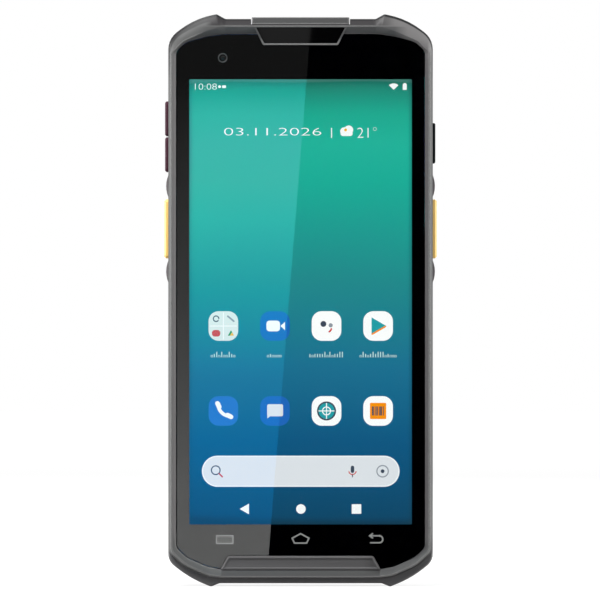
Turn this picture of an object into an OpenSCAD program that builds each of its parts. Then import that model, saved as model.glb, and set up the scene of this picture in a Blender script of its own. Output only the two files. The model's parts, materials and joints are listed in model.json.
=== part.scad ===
// Rugged handheld data terminal with a large touch screen, a scan window in its
// top end, side triggers and a battery door in its back.
//
// Every piece is drawn in a face frame: X to the right, Y up the device and Z
// from the back face towards the screen. upright() then stands it on its lower
// lugs with the screen facing -Y.

/* [Body] */
// Width across the sides of the bumper
body_w = 76.5; // [74:0.5:84]
// Length between the lower and the upper lug tips
body_l = 165.5; // [164:0.1:176]
// Thickness from the back face to the ridge of the bezel
body_t = 16; // [16:0.5:19]
// Wall of the two moulded housings
wall = 1.6; // [1.4:0.1:1.8]
// Height of the parting plane between the housings
split_z = 9; // [8.6:0.1:9.4]
// Depth of the rounding round the back face
back_round = 3.2; // [2:0.1:3.6]

/* [Bumper] */
// Thickness of the bumper along the sides
bumper_t = 1.4; // [1.2:0.1:1.6]
// Back edge of the bumper band
band_z0 = 3.5; // [3:0.1:4]
// Front edge of the bumper band
band_z1 = 12.6; // [12:0.1:13]
// Height of the lower lugs over the flat end between them
low_lug = 1.0; // [0.6:0.1:1.6]
// Height of the upper lugs over the flat end between them
top_lug = 1.4; // [0.8:0.1:1.8]
// Distance of the lower lug tips from the side
low_reach = 12.35; // [11:0.05:14]
// Distance of the upper lug tips from the side
top_reach = 14.0; // [13:0.05:16]
// How far the trigger guards stand off the side
guard_h = 0.65; // [0.4:0.05:1]

/* [Bezel] */
// Distance of the ridge from the side
ridge_side = 0.75; // [0.5:0.05:1]
// Distance of the ridge from the upper lug tips
ridge_top = 3.4; // [3:0.1:4]
// Distance of the ridge from the lower lug tips
ridge_low = 2.8; // [2.6:0.1:3.2]
// Width of the flat land on the ridge
ridge_land = 0.35; // [0.2:0.05:0.5]
// Height of the bevel outside the ridge
bevel_h = 1.6; // [1.2:0.1:2]
// Width of the raised bar under the screen at its foot
chin_w = 46.6; // [40:0.2:50]
// Distance of the top of that bar from the lower lug tips
chin_top = 8.9; // [8.2:0.1:9.2]
// Width of the name tab above the screen at its top
tab_w = 27.2; // [24:0.2:30]
// Distance of the tab's lower edge from the upper lug tips
tab_drop = 9.0; // [8.2:0.1:9.2]
// Rim round the inlay of the tab
tab_rim = 0.45; // [0.3:0.05:0.6]
// Thickness of the tab's inlay
inlay_t = 0.5; // [0.4:0.05:0.6]

/* [Screen] */
// Depth of the glass under the ridge
glass_recess = 0.65; // [0.5:0.05:0.8]
// Thickness of the cover glass
glass_t = 0.85; // [0.7:0.05:1]
// Distance of the glass edge from the side
glass_side = 2.4; // [2.2:0.05:2.6]
// Distance of the glass edge from the lower lug tips
glass_low = 5.2; // [5:0.1:5.6]
// Distance of the glass edge from the upper lug tips
glass_top_gap = 5.9; // [5.6:0.1:6.2]
// Thickness of the black print behind the glass
print_t = 0.1; // [0.1:0.05:0.2]
// Thickness of the tape that holds the glass
tape_t = 0.2; // [0.15:0.05:0.3]
// Distance of the lit display from the side
view_side = 6.1; // [5.6:0.025:6.6]
// Distance of the lit display from the upper lug tips
view_top = 18.9; // [18.4:0.1:20]
// Height of the lit display over the lower lug tips
view_y = 18.0; // [17:0.1:19]
// Thickness of the display panel
display_t = 1.7; // [1.5:0.1:1.9]

/* [Side keys] */
// Height of the side keys' middle over the back face
key_z = 7.8; // [7.4:0.1:8.2]
// Width of the keys across the side
key_w = 4.2; // [3.4:0.1:4.6]
// Width of the triggers across the side
trigger_w = 6.0; // [5:0.1:6.2]
// Length of each volume key
volume_l = 10.1; // [8:0.1:10.4]
// Distance of the volume keys' lower end from the upper lug tips
volume_drop = 45.6; // [44.8:0.1:46.8]
// Length of the power key
power_l = 11.7; // [9:0.1:13]
// Distance of its lower end from the upper lug tips
power_drop = 43.1; // [40.8:0.1:46.3]
// Length of the triggers
trigger_l = 17.1; // [14:0.1:17.6]
// Distance of their lower end from the upper lug tips
trigger_drop = 70.6; // [69.8:0.1:71.8]
// Travel of the keys
key_travel = 0.4; // [0.2:0.05:0.5]
// Travel of the triggers
trigger_travel = 0.6; // [0.3:0.05:0.7]
// How far the volume keys stand off the side
volume_out = 1.0; // [0.7:0.05:1.3]
// How far the power key stands off the side
power_out = 0.8; // [0.6:0.05:1.2]
// How far the triggers stand off the side
trigger_out = 1.2; // [0.9:0.05:1.5]

/* [Scanner] */
// Width of the scan window's bezel
scan_w = 28.2; // [27:0.2:30]
// Height of that bezel over the flat top end
scan_proud = 0.4; // [0.3:0.1:0.8]
// Width of the scan window
window_w = 24; // [20:0.5:25]
// Height of the scan window
window_h = 8.4; // [7.5:0.1:8.8]

/* [Battery] */
// Room between the battery pack and the walls that carry the side switches
pack_room = 2.15; // [1.9:0.05:4]
// Length of the battery pack
pack_l = 76; // [70:0.5:76.5]
// Thickness of the battery pack
pack_t = 6.6; // [5.5:0.1:7]
// Thickness of the battery door
door_t = 1.4; // [1.2:0.1:1.5]
// Travel of the door latches
latch_travel = 1.6; // [1:0.1:1.8]

/* [Camera] */
// Diameter of the rear camera's window
camera_d = 9.6; // [8:0.2:11]
// Diameter of the front camera's printed ring
ring_d = 2.8; // [2.4:0.1:3.4]

/* [Hidden] */
$fn = 48;

fit = 0.15;      // gap round a glued or clipped piece
slide = 0.3;     // gap round a moving piece
eps = 0.01;      // overshoot of a cut
arc_steps = 5;   // chords on each rounded corner of an outline

half_w = body_w / 2;
lug_slope = 2.5; // run of the slope from a lug tip to the flat end
tip_r = 0.9;     // rounding of a lug tip
notch_r = 1.5;   // rounding of the foot of its slope

// Heights of the layers behind the screen, from the front down
glass_z = body_t - glass_recess - glass_t;
print_z = glass_z - print_t;
ledge_z = print_z - tape_t;
ledge_t = 1.2;
display_z = print_z - display_t;
display_border = 1.2;
frame_t = 1.2;
frame_z = display_z - frame_t;
board_gap = 1.1;
board_t = 1.0;
board_z = frame_z - board_gap - board_t;
glass_top = glass_z + glass_t;
view_w = body_w - 2 * view_side;
view_h = body_l - view_top - view_y;

// Side keys, from the switches outwards
inner_x = half_w - bumper_t - wall;
switch_x = inner_x - 1.7;   // tips of the switches' plungers
switch_h = 1.0;
flex_t = 0.2;
lug_t = 0.7;     // wall of the mid frame that carries the switches
lug_x = switch_x - switch_h - flex_t - lug_t;
key_flange = 0.6;
volume_y = body_l - volume_drop;
power_y = body_l - power_drop;
trigger_y = body_l - trigger_drop;
guard_l = 6.4;
guard_w = 7.2;
guard_gap = 0.6;
key_pair_gap = 0.3;
volume_pair_l = 2 * volume_l + key_pair_gap;

// Battery bay and door, from the back up
door_seat = door_t + 0.1;
pack_z = door_t + 0.5;
pack_y = 25;
pack_w = 2 * (lug_x - pack_room);
bay_wall = 1.1;
bay_r = 2.5;
bay_half = pack_w / 2 + slide;
bay_y0 = pack_y - slide;
bay_y1 = pack_y + pack_l + slide;
bay_z = pack_z + pack_t;
shelf_z = 3.4;
door_half = pack_w / 2 + 3.1;
door_y0 = pack_y - 8.2;
door_y1 = pack_y + pack_l + 7;
rabbet = 0.25;   // gap round the door
hinge_y = door_y1 + rabbet;
tongue_w = 8;
tongue_x = door_half - 12.6;   // middle of each hinge tongue
connector_half = 7;
latch_y = door_y0 + 2.8;
latch_l = 10.3;
latch_x = door_half - 0.3 - latch_l;   // inner end of a latch, drawn back

// Scanner
scan_top = body_l - top_lug + scan_proud;
scan_depth = 7.6;                  // how far the bezel reaches into the top end
scan_y = body_l - scan_depth;
scan_z0 = 2.0;
scan_z1 = band_z1 - 0.35;
scan_lip = ridge_top - 0.5;        // the lip's inner edge, from the lug tips
scan_mid = (scan_z0 + scan_z1) / 2;
scan_sill = 1.5;                   // depth of the window's pocket
engine_t = 6.8;
engine_l = 9.6;

// Screws
screw_d = 1.8;
screw_l = 9.6;
head_d = 3.4;
head_h = 1.2;
head_seat = head_h + 0.4;
boss_d = 4.6;
corner_x = half_w - 6.75;
corner_screws = [[corner_x, 12], [corner_x, body_l - 13.4]];
middle_screw = [half_w - 9.75, bay_y1 + 14.7];
screws = concat(corner_screws, [middle_screw]);

// Boards: the main one between the battery bay and the scan engine, the sub
// board below the bay
main_y0 = bay_y1 + 3.7;
main_y1 = scan_y - engine_l - 0.6;
main_half = half_w - 9.65;
post_x = main_half - 4.6;      // posts that carry the boards
post_in = 3.5;                 // their distance from the main board's ends
post_d = 4;
post_hole_d = 1.4;
sub_y0 = 6.2;
sub_y1 = pack_y - 2.6;
sub_half = corner_x - 3.9;
sub_post_y = sub_y1 - 3.4;
can_t = 1.5;                   // height of the shields on the main board
flex_w = 10;                   // the flex that joins the boards
flex_x = 11;
flex_lap = 5;

// Cameras
rear_camera_x = 18.25 - half_w;
rear_camera_y = body_l - 25;
rear_camera_half = 4.3;
rear_camera_t = 5;
window_seat = 1.1;
barrel_d = 6.2;
flash_y = rear_camera_y - 11;
flash_d = 4;
front_camera_x = 15.75 - half_w;
front_camera_y = body_l - 12.7;
camera_body = 6.4;
camera_low = frame_z - 0.9;

// USB port, microphone, speaker and vibration motor round the sub board
usb_w = 8.94;
usb_h = 3.16;
usb_l = 7.4;
usb_y = 2.4;
mic_x = 9.5;
mic_w = 3.8;
mic_l = 3;
speaker_w = 16;
speaker_l = 9;
speaker_t = 4;
speaker_x = half_w - 19.25;
speaker_y = sub_y0 + 4.2;
mesh_t = 0.3;
motor_d = 8;
motor_t = 2.7;
motor_x = sub_half - 9.6;

// ---------- outlines ----------
// A key is [x, y, radius]; an outline is a closed list of keys, anticlockwise.

function xy(k) = [k.x, k.y];
function unit(v) = v / norm(v);
function left_of(u) = [-u.y, u.x];
function wrap(list, i) = list[(i + len(list)) % len(list)];

// The right half of an outline, from the bottom middle up, and its mirror image
function whole(half) = concat(half,
    [for (i = [len(half) - 1:-1:0]) [-half[i].x, half[i].y, half[i].z]]);

// Points of the rounded corner at key i
function corner_arc(keys, i) = let (
    c = xy(keys[i]),
    r = keys[i].z,
    u = unit(c - xy(wrap(keys, i - 1))),
    v = unit(xy(wrap(keys, i + 1)) - c),
    turn = atan2(u.x * v.y - u.y * v.x, u * v),
    side = sign(turn) * left_of(u),
    hub = c - r * tan(abs(turn) / 2) * u + r * side,
    start = atan2(-side.y, -side.x))
    [for (k = [0:arc_steps]) let (a = start + turn * k / arc_steps)
        hub + r * [cos(a), sin(a)]];

function rounded(keys) = [for (i = [0:len(keys) - 1]) each corner_arc(keys, i)];

// The outline moved inwards by d, with its roundings moved along
function inset(keys, d) = [for (i = [0:len(keys) - 1]) let (
    c = xy(keys[i]),
    u = unit(c - xy(wrap(keys, i - 1))),
    v = unit(xy(wrap(keys, i + 1)) - c),
    m = (left_of(u) + left_of(v)) / (1 + u * v),
    convex = u.x * v.y - u.y * v.x > 0,
    p = c + d * m)
    [p.x, p.y, convex ? max(keys[i].z - d, 0.2) : keys[i].z + d]];

// Four keys for a lower corner and four for an upper one, each key given as
// [distance from the side, distance from the end, radius]
function contour(side, low, top, low_keys, top_keys) = whole(concat(
    [for (k = low_keys) [side - k.x, low + k.y, k.z]],
    [for (k = top_keys) [side - k.x, top - k.y, k.z]]));

low_corner = [[14.6, 0, 8], [11.1, 0.4, 8], [4.3, 3.4, 12], [0, 7.4, 3]];
top_corner = [[0, 7.8, 4], [3.2, 4.3, 6], [10.1, 1.25, 14], [15, 0, 14]];
glass_low_corner = [[12.85, 0, 8], [8.85, 0.7, 10], [2.85, 3.4, 8], [0, 6.2, 2.5]];
glass_top_corner = [[0, 4.9, 2.5], [2.85, 2.3, 5], [8.85, 0.7, 14], [13.85, 0, 14]];

// Outer line of the bumper, with its four lugs
low_rise = 7.4;
top_rise = 7.1;
low_bulge = 1.2;
top_bulge = 2.0;
function shoulder(tip, side, share, bulge, r) =
    let (p = tip + share * (side - tip)) [p.x, p.y + bulge, r];
silhouette = whole([
    [half_w - low_reach - lug_slope, low_lug, notch_r],
    [half_w - low_reach, 0, tip_r],
    shoulder([half_w - low_reach, 0], [half_w, low_rise], 0.49, -low_bulge, 32),
    [half_w, low_rise, 4.6],
    [half_w, body_l - top_rise, 6.2],
    shoulder([half_w - top_reach, body_l], [half_w, body_l - top_rise], 0.45,
        top_bulge, 23),
    [half_w - top_reach, body_l, tip_r],
    [half_w - top_reach - lug_slope, body_l - top_lug, notch_r]]);
low_y = min([for (p = rounded(silhouette)) p.y]);

// Outer line of the front housing: the ridge's line below, the lugs' line above
lip = 0.12;
front_low = ridge_low - 0.3;
front_line = whole(concat(
    [for (k = low_corner) [half_w - lip - k.x, front_low + k.y, k.z]],
    [for (i = [4:7]) inset(silhouette, lip)[i]]));

ridge_line = contour(half_w - ridge_side, ridge_low, body_l - ridge_top,
    low_corner, top_corner);
glass_line = contour(half_w - glass_side, glass_low, body_l - glass_top_gap,
    glass_low_corner, glass_top_corner);
opening_line = inset(glass_line, -fit);

// Line under the bumper, where the two housings are flush with each other
seat_end = 3.0;
seat_line = contour(half_w - bumper_t, seat_end, body_l - seat_end,
    low_corner, top_corner);
cavity_line = inset(seat_line, wall);
rear_line = inset(seat_line, -0.6);

// ---------- solids from outlines ----------

module slab(keys, z0, z1) {
    translate([0, 0, z0]) linear_extrude(z1 - z0) polygon(rounded(keys));
}

module frame_slab(outer, inner, z0, z1) {
    difference() {
        slab(outer, z0, z1);
        slab(inner, z0 - 1, z1 + 1);
    }
}

// A solid through a stack of rings of equal length; closed joins last to first
module loft(rings, closed = false) {
    n = len(rings[0]);
    m = len(rings);
    quads = [for (i = [0:m - (closed ? 1 : 2)], j = [0:n - 1]) let (
        a = i * n + j,
        b = i * n + (j + 1) % n,
        c = ((i + 1) % m) * n + (j + 1) % n,
        d = ((i + 1) % m) * n + j)
        each [[a, d, c], [a, c, b]]];
    caps = closed ? [] : [[for (j = [0:n - 1]) j],
        [for (j = [n - 1:-1:0]) (m - 1) * n + j]];
    polyhedron([for (r = rings) each r], concat(quads, caps));
}

function ring(keys, z) = [for (p = rounded(keys)) [p.x, p.y, z]];

module block(x0, x1, y0, y1, z0, z1) {
    translate([x0, y0, z0]) cube([x1 - x0, y1 - y0, z1 - z0]);
}

// A block with rounded upright edges
module round_block(x0, x1, y0, y1, z0, z1, r) {
    slab([[x0, y0, r], [x1, y0, r], [x1, y1, r], [x0, y1, r]], z0, z1);
}

// The same, square and about a centre
module square_block(x, y, half, z0, z1, r) {
    round_block(x - half, x + half, y - half, y + half, z0, z1, r);
}

module rod(x, y, z0, z1, d) {
    translate([x, y, z0]) cylinder(d = d, h = z1 - z0);
}

module both_sides() {
    children();
    mirror([1, 0, 0]) children();
}

module upright() {
    translate([0, body_t / 2, -low_y]) rotate([90, 0, 0]) children();
}

// A block along X with rounded edges
module side_block(x0, x1, y0, y1, z0, z1, r) {
    translate([x0, 0, 0]) rotate([90, 0, 90]) linear_extrude(x1 - x0)
        polygon(rounded([[y0, z0, r], [y1, z0, r], [y1, z1, r], [y0, z1, r]]));
}

// A block along Y with rounded edges
module end_block(x0, x1, y0, y1, z0, z1, r) {
    translate([0, y1, 0]) rotate([90, 0, 0]) linear_extrude(y1 - y0)
        polygon(rounded([[x0, z0, r], [x1, z0, r], [x1, z1, r], [x0, z1, r]]));
}

// A rounded rectangle about the middle of the width
function panel(half, y0, y1, r) =
    [[-half, y0, r], [half, y0, r], [half, y1, r], [-half, y1, r]];

// ---------- shared cuts ----------

// Opening for one key, or for a row of keys, in the right side
module key_slot(y0, l, w) {
    side_block(inner_x - 1, half_w + 2, y0 - slide, y0 + l + slide,
        key_z - w / 2 - slide, key_z + w / 2 + slide, 1.2);
}

module key_slots() {
    mirror([1, 0, 0]) key_slot(volume_y, volume_pair_l, key_w);
    key_slot(power_y, power_l, key_w);
    both_sides() key_slot(trigger_y, trigger_l, trigger_w);
}

module end_holes() {
    end_block(-usb_w / 2 - 0.5, usb_w / 2 + 0.5, -1, sub_y0 + 1,
        board_z - usb_h - 0.5, board_z + 0.3, 1.6);
    translate([mic_x, -1, key_z]) rotate([-90, 0, 0]) cylinder(d = 1, h = 8);
}

// Room for the scan bezel, and for its lip in front of the bumper
module scan_room() {
    gap = 0.25;
    block(-scan_w / 2 - gap, scan_w / 2 + gap, scan_y - slide, body_l + 2,
        scan_z0 - fit, scan_z1 + fit);
    block(-scan_w / 2 - gap, scan_w / 2 + gap, body_l - scan_lip - fit, body_l + 2,
        scan_z1 - 1, body_t + 1);
}

// ---------- housings ----------

inner_line = panel(view_w / 2 + display_border + slide, chin_top + 0.8,
    body_l - tab_drop - 0.5, 6);

// A tapered bar, wide at y0 and narrower by the taper on each side at y1
function tapered(w, taper, y0, y1, r0, r1) = [[-w / 2, y0, r0], [w / 2, y0, r0],
    [w / 2 - taper, y1, r1], [taper - w / 2, y1, r1]];

chin_line = tapered(chin_w, 2.3, glass_low - fit - 0.3, chin_top, 0.3, 0.9);
// The tab hangs from the ridge, so its wide edge is the upper one
function upside_down(keys) = [for (i = [len(keys) - 1:-1:0]) [keys[i].x, -keys[i].y, keys[i].z]];
tab_line = upside_down(tapered(tab_w, 2.8, 0.1 + ridge_top - body_l, tab_drop - body_l, 0.3, 0.5));
tab_z = body_t - 0.05;
chin_z = body_t - 0.2;
chin_bevel = 0.4;
// The chin's face lies in a sloped recess behind a narrow rim
chin_rim = 0.62;
chin_sink = 0.28;

module bezel() {
    loft([ring(front_line, band_z1), ring(front_line, body_t - bevel_h),
        ring(ridge_line, body_t - 0.06), ring(inset(ridge_line, ridge_land), body_t),
        ring(opening_line, glass_top), ring(opening_line, band_z1)], closed = true);
}

module chin() {
    slab(chin_line, ledge_z - 0.5, chin_z - chin_bevel);
    loft([ring(chin_line, chin_z - chin_bevel), ring(inset(chin_line, chin_bevel), chin_z)]);
}

module chin_recess() {
    loft([ring(inset(chin_line, chin_rim + chin_sink), chin_z - chin_sink),
        ring(inset(chin_line, chin_rim), chin_z),
        ring(inset(chin_line, chin_rim), body_t + 1)]);
}

module front_housing() {
    color([0.38, 0.38, 0.38]) difference() {
        union() {
            difference() {
                bezel();
                slab(inset(seat_line, wall / 4), band_z1 - 1, ledge_z - ledge_t);
            }
            frame_slab(seat_line, cavity_line, split_z, ledge_z);
            frame_slab(inset(cavity_line, -0.3), inner_line, ledge_z - ledge_t, ledge_z);
            chin();
            slab(tab_line, ledge_z - 0.5, tab_z);
            both_sides() for (p = corner_screws) {
                rod(p.x, p.y, split_z, ledge_z, boss_d - 0.2);
                rod(p.x, p.y, ledge_z - ledge_t, ledge_z, 6.4);
            }
        }
        slab(inset(tab_line, tab_rim), tab_z - inlay_t, body_t + 1);
        chin_recess();
        both_sides() for (p = corner_screws)
            rod(p.x, p.y, split_z - 1, ledge_z - 0.9, screw_d + 0.1);
        scan_room();
        key_slots();
        end_holes();
    }
}

// A low round guard beside a trigger, from y0 to y1
module guard(y0, y1) {
    r = pow(y1 - y0, 2) / 8 / guard_h + guard_h / 2;
    intersection() {
        block(half_w - bumper_t / 2, half_w + 2, y0 - 1, y1 + 1,
            key_z - guard_w / 2, key_z + guard_w / 2);
        rod(half_w + guard_h - r, (y0 + y1) / 2, band_z0, band_z1, 2 * r);
    }
}

// Ring that follows one outline round the foot and another one elsewhere
last_foot = 4 * (arc_steps + 1) - 2;
function foot_ring(foot, foot_z, rest, rest_z) = let (
    a = ring(foot, foot_z),
    b = ring(rest, rest_z),
    n = len(a))
    [for (i = [0:n - 1]) i <= last_foot || i >= n - 1 - last_foot ? a[i] : b[i]];

module bumper_frame() {
    front_z = body_t - bevel_h;
    color([0.2, 0.2, 0.21]) difference() {
        union() {
            // one band all round, carried forward as a rail round the lower end
            loft([ring(inset(silhouette, 0.5), band_z0),
                ring(inset(silhouette, 0.15), band_z0 + 0.5),
                ring(silhouette, band_z0 + 1.4),
                foot_ring(silhouette, front_z - 0.5, silhouette, band_z1),
                foot_ring(inset(silhouette, 0.45), front_z, front_line, band_z1),
                foot_ring(front_line, front_z, front_line, band_z1),
                ring(front_line, band_z1), ring(seat_line, band_z1),
                ring(seat_line, band_z0)], closed = true);
            both_sides() {
                guard(trigger_y - guard_gap - guard_l, trigger_y - guard_gap);
                guard(trigger_y + trigger_l + guard_gap, trigger_y + trigger_l + guard_gap + guard_l);
            }
        }
        scan_room();
        key_slots();
        end_holes();
    }
}

back_steps = 5;
module back_shell() {
    loft([for (i = [0:back_steps]) let (a = 90 * i / back_steps)
        ring(inset(rear_line, back_round * (1 - sin(a))), band_z0 * (1 - cos(a)))]);
    slab(seat_line, band_z0 - 1, split_z);
}

door_line = panel(door_half, door_y0, door_y1, 3);
seal_in = 0.7;   // distance of the seal from the bay
seal_w = 1.0;
seal_z = door_t + 0.65;

module bay_ring(from, to, z0, z1) {
    frame_slab(panel(bay_half + to, bay_y0 - to, bay_y1 + to, bay_r + to),
        panel(bay_half + from, bay_y0 - from, bay_y1 + from, bay_r + from), z0, z1);
}

module door_cuts() {
    slab(inset(door_line, -rabbet), -1, door_seat);
    slab(panel(bay_half, bay_y0, bay_y1, bay_r), -1, bay_z);
    bay_ring(seal_in - 0.2, seal_in + seal_w + 0.2, 0, seal_z + 0.25);
    both_sides() {
        block(tongue_x - tongue_w / 2 - 0.4, tongue_x + tongue_w / 2 + 0.4,
            hinge_y - 4.5, hinge_y + 4, door_seat, shelf_z + 1);
        block(latch_x - 0.3, latch_x + latch_l + latch_travel + 0.4,
            latch_y - 1.9, latch_y + 1.9, door_seat - 0.05, door_seat + 1.25);
    }
    // window for the battery connector in the bay's end wall
    block(-connector_half - 0.5, connector_half + 0.5, bay_y1 - 1, bay_y1 + 4,
        pack_z + 1.6, board_z + 1);
}

module speaker_slots() {
    count = 5;
    pitch = 1.6;
    for (i = [0:count - 1])
        translate([speaker_x + pitch * (i - (count - 1) / 2), 0, 0])
            round_block(-0.4, 0.4, speaker_y - 2.6, speaker_y + 2.6, -1, wall + 1, 0.35);
}

module rear_housing() {
    color([0.17, 0.17, 0.18]) difference() {
        union() {
            difference() {
                back_shell();
                slab(cavity_line, wall, split_z + 1);
            }
            slab(panel(door_half + 1.5, door_y0 - 1.3, door_y1 + 2.6, 3.5), wall / 2, shelf_z);
            slab(panel(bay_half + bay_wall, bay_y0 - bay_wall, bay_y1 + bay_wall, 3.5),
                wall / 2, bay_z + 1.1);
            both_sides() for (p = screws) rod(p.x, p.y, wall / 2, split_z, boss_d);
        }
        door_cuts();
        both_sides() for (p = screws) {
            rod(p.x, p.y, -1, head_seat, head_d + 0.3);
            rod(p.x, p.y, 0, split_z + 1, screw_d + 0.3);
        }
        rod(rear_camera_x, rear_camera_y, -1, window_seat, camera_d + 0.2);
        rod(rear_camera_x, rear_camera_y, 0, wall + 1, barrel_d + 0.8);
        rod(rear_camera_x, flash_y, -1, wall + 1, flash_d + 0.3);
        speaker_slots();
        scan_room();
        key_slots();
        end_holes();
    }
}

// ---------- screen ----------

// Everything cut from a layer of the screen by the chin and the tab
module screen_notches(z0, z1) {
    slab(inset(chin_line, -fit), z0, z1);
    slab(inset(tab_line, -fit), z0, z1);
}

view_line = panel(view_w / 2, view_y, view_y + view_h, 0.3);

module cover_glass() {
    edge = 0.15;   // polished edge of the glass
    color([0.1, 0.1, 0.12, 0.5]) difference() {
        union() {
            slab(glass_line, glass_z, glass_top - edge);
            loft([ring(glass_line, glass_top - edge), ring(inset(glass_line, edge), glass_top)]);
        }
        screen_notches(glass_z - 1, glass_top + 1);
    }
}

module border_print() {
    color("black") difference() {
        slab(inset(glass_line, 0.05), print_z, glass_z);
        screen_notches(print_z - 1, glass_z + 1);
        slab(view_line, print_z - 1, glass_z + 1);
        rod(front_camera_x, front_camera_y, print_z - 1, glass_z + 1, ring_d);
    }
}

module glass_tape() {
    color([0.25, 0.25, 0.25]) difference() {
        slab(inset(glass_line, 0.4), ledge_z, print_z);
        slab(inset(inner_line, -0.3), ledge_z - 1, print_z + 1);
        screen_notches(ledge_z - 1, print_z + 1);
    }
}

module display_panel() {
    step = 0.5;      // inset of the front layers from the backlight
    front_t = 0.7;
    color([0.1, 0.5, 0.5]) {
        slab(panel(view_w / 2 + display_border, view_y - 2.1, view_y + view_h + 1.6, 0.8),
            display_z, print_z - front_t);
        slab(panel(view_w / 2 + display_border - step, view_y - 2.1 + step,
            view_y + view_h + 1.6 - step, 0.6), print_z - front_t, print_z);
    }
}

module camera_ring() {
    color([0.45, 0.45, 0.45]) difference() {
        rod(front_camera_x, front_camera_y, print_z, glass_z, ring_d);
        rod(front_camera_x, front_camera_y, print_z - 1, glass_z + 1, ring_d - 0.7);
    }
}

module tab_inlay() {
    color([0.08, 0.08, 0.08])
        slab(inset(tab_line, tab_rim + 0.04), tab_z - inlay_t, tab_z - 0.1);
}

module front_camera() {
    barrel_z = camera_low + 3;
    front_barrel_d = 4.4;
    cone_d = 2.4;
    color([0.12, 0.12, 0.14]) {
        square_block(front_camera_x, front_camera_y, camera_body / 2, camera_low, barrel_z, 0.5);
        difference() {
            rod(front_camera_x, front_camera_y, barrel_z, print_z - 0.1, front_barrel_d);
            translate([front_camera_x, front_camera_y, print_z - 0.7])
                cylinder(d1 = cone_d - 1, d2 = cone_d, h = 0.7);
        }
    }
}

module receiver() {
    l = 4.4;
    half = 7;
    y0 = body_l - tab_drop - 0.6 - l;
    mid = y0 + l / 2;
    pitch = 2;
    color([0.6, 0.6, 0.6]) difference() {
        round_block(-half, half, y0, y0 + l, display_z, print_z - 0.2, 1.2);
        for (i = [-2:2])
            round_block(pitch * i - 0.5, pitch * i + 0.5, mid - 1, mid + 1,
                print_z - 0.6, print_z, 0.4);
    }
}

// ---------- scanner ----------

module scan_bezel() {
    wing = 2.4;
    rim = 0.8;    // seat round the window
    color([0.33, 0.33, 0.33]) difference() {
        union() {
            end_block(-scan_w / 2, scan_w / 2, scan_y, scan_top, scan_z0, scan_z1, 0.4);
            // lip over the front of the bumper
            end_block(-scan_w / 2, scan_w / 2, body_l - scan_lip, scan_top,
                scan_z1 - 1, body_t - 0.6, 0.4);
            // wings that hold it behind the end wall
            block(-scan_w / 2 - wing, scan_w / 2 + wing, scan_y,
                body_l - seat_end - wall - fit, scan_z0 + 0.5, scan_z1 - 1.2);
        }
        end_block(-window_w / 2, window_w / 2, scan_top - scan_sill, body_l + 1,
            scan_mid - window_h / 2, scan_mid + window_h / 2, 0.8);
        end_block(rim - window_w / 2, window_w / 2 - rim, scan_y - 1, body_l,
            scan_mid - window_h / 2 + rim, scan_mid + window_h / 2 - rim, 0.6);
    }
}

module scan_window() {
    gap = 0.05;
    color([0.25, 0.05, 0.08]) end_block(gap - window_w / 2, window_w / 2 - gap,
        scan_top - scan_sill, scan_top - scan_sill + 0.8,
        scan_mid - window_h / 2 + gap, scan_mid + window_h / 2 - gap, 0.75);
}

module scan_engine() {
    half = 10.4;
    low = frame_z - engine_t;
    mid = low + engine_t / 2;
    color([0.5, 0.5, 0.52]) difference() {
        end_block(-half, half, scan_y - engine_l, scan_y, low, frame_z, 0.4);
        // mouths of the imager and of the two lamps beside it, each [place, diameter]
        for (m = [[0, 4.6], [-6.2, 3], [6.2, 3]])
            translate([m.x, scan_y + eps, mid]) rotate([90, 0, 0])
                cylinder(d1 = m.y, d2 = m.y - 1.2, h = 2.5);
    }
}

// ---------- chassis and electronics ----------

module mid_frame() {
    edge = inset(cavity_line, 0.25);
    posts = [main_y0 + post_in, main_y1 - post_in, sub_post_y];
    pocket_w = view_w / 4;
    pocket_l = pack_l / 3.8;
    cup = camera_body / 2 + 0.1;
    cup_wall = 0.9;
    color([0.62, 0.63, 0.65]) difference() {
        union() {
            slab(edge, frame_z, display_z);
            frame_slab(edge, inner_line, display_z - 0.5, ledge_z - ledge_t);
            both_sides() {
                for (y = posts) rod(post_x, y, board_z + board_t, frame_z + 0.5, post_d);
                rod(middle_screw.x, middle_screw.y, split_z, frame_z + 0.5, boss_d - 0.2);
                // walls that carry the side switches
                block(lug_x, lug_x + lug_t, trigger_y + 2, trigger_y + trigger_l - 2,
                    key_z - 2, frame_z + 0.5);
                block(lug_x, lug_x + lug_t, volume_y, volume_y + volume_pair_l,
                    key_z - 2, frame_z + 0.5);
            }
            square_block(front_camera_x, front_camera_y, cup + cup_wall,
                camera_low - 0.6, frame_z + 0.5, 1);
        }
        both_sides() {
            for (p = corner_screws) rod(p.x, p.y, frame_z - 1, ledge_z, boss_d + 0.4);
            rod(middle_screw.x, middle_screw.y, split_z - 1, frame_z + 0.4, screw_d + 0.1);
        }
        square_block(front_camera_x, front_camera_y, cup, camera_low, ledge_z, 0.5);
        block(-scan_w / 2 - slide, scan_w / 2 + slide, scan_y - slide, body_l,
            split_z, ledge_z);
        // way for the display's tail
        round_block(-9, 9, view_y - 0.2, view_y + 2.8, frame_z - 1, ledge_z, 1);
        // pockets that lighten the plate
        for (i = [-1:1], j = [0:2])
            round_block(pocket_w * (1.25 * i - 0.5), pocket_w * (1.25 * i + 0.5),
                bay_y0 + pocket_l * (1.2 * j + 0.15), bay_y0 + pocket_l * (1.2 * j + 1.15),
                frame_z + 0.5, display_z + 1, 2);
    }
}

module main_board() {
    color([0.05, 0.3, 0.15]) difference() {
        round_block(-main_half, main_half, main_y0, main_y1, board_z, board_z + board_t, 1);
        both_sides() {
            rod(middle_screw.x, middle_screw.y, board_z - 1, board_z + board_t + 1,
                boss_d + 0.6);
            for (y = [main_y0 + post_in, main_y1 - post_in])
                rod(post_x, y, board_z - 1, board_z + board_t + 1, post_hole_d);
        }
    }
}

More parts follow.
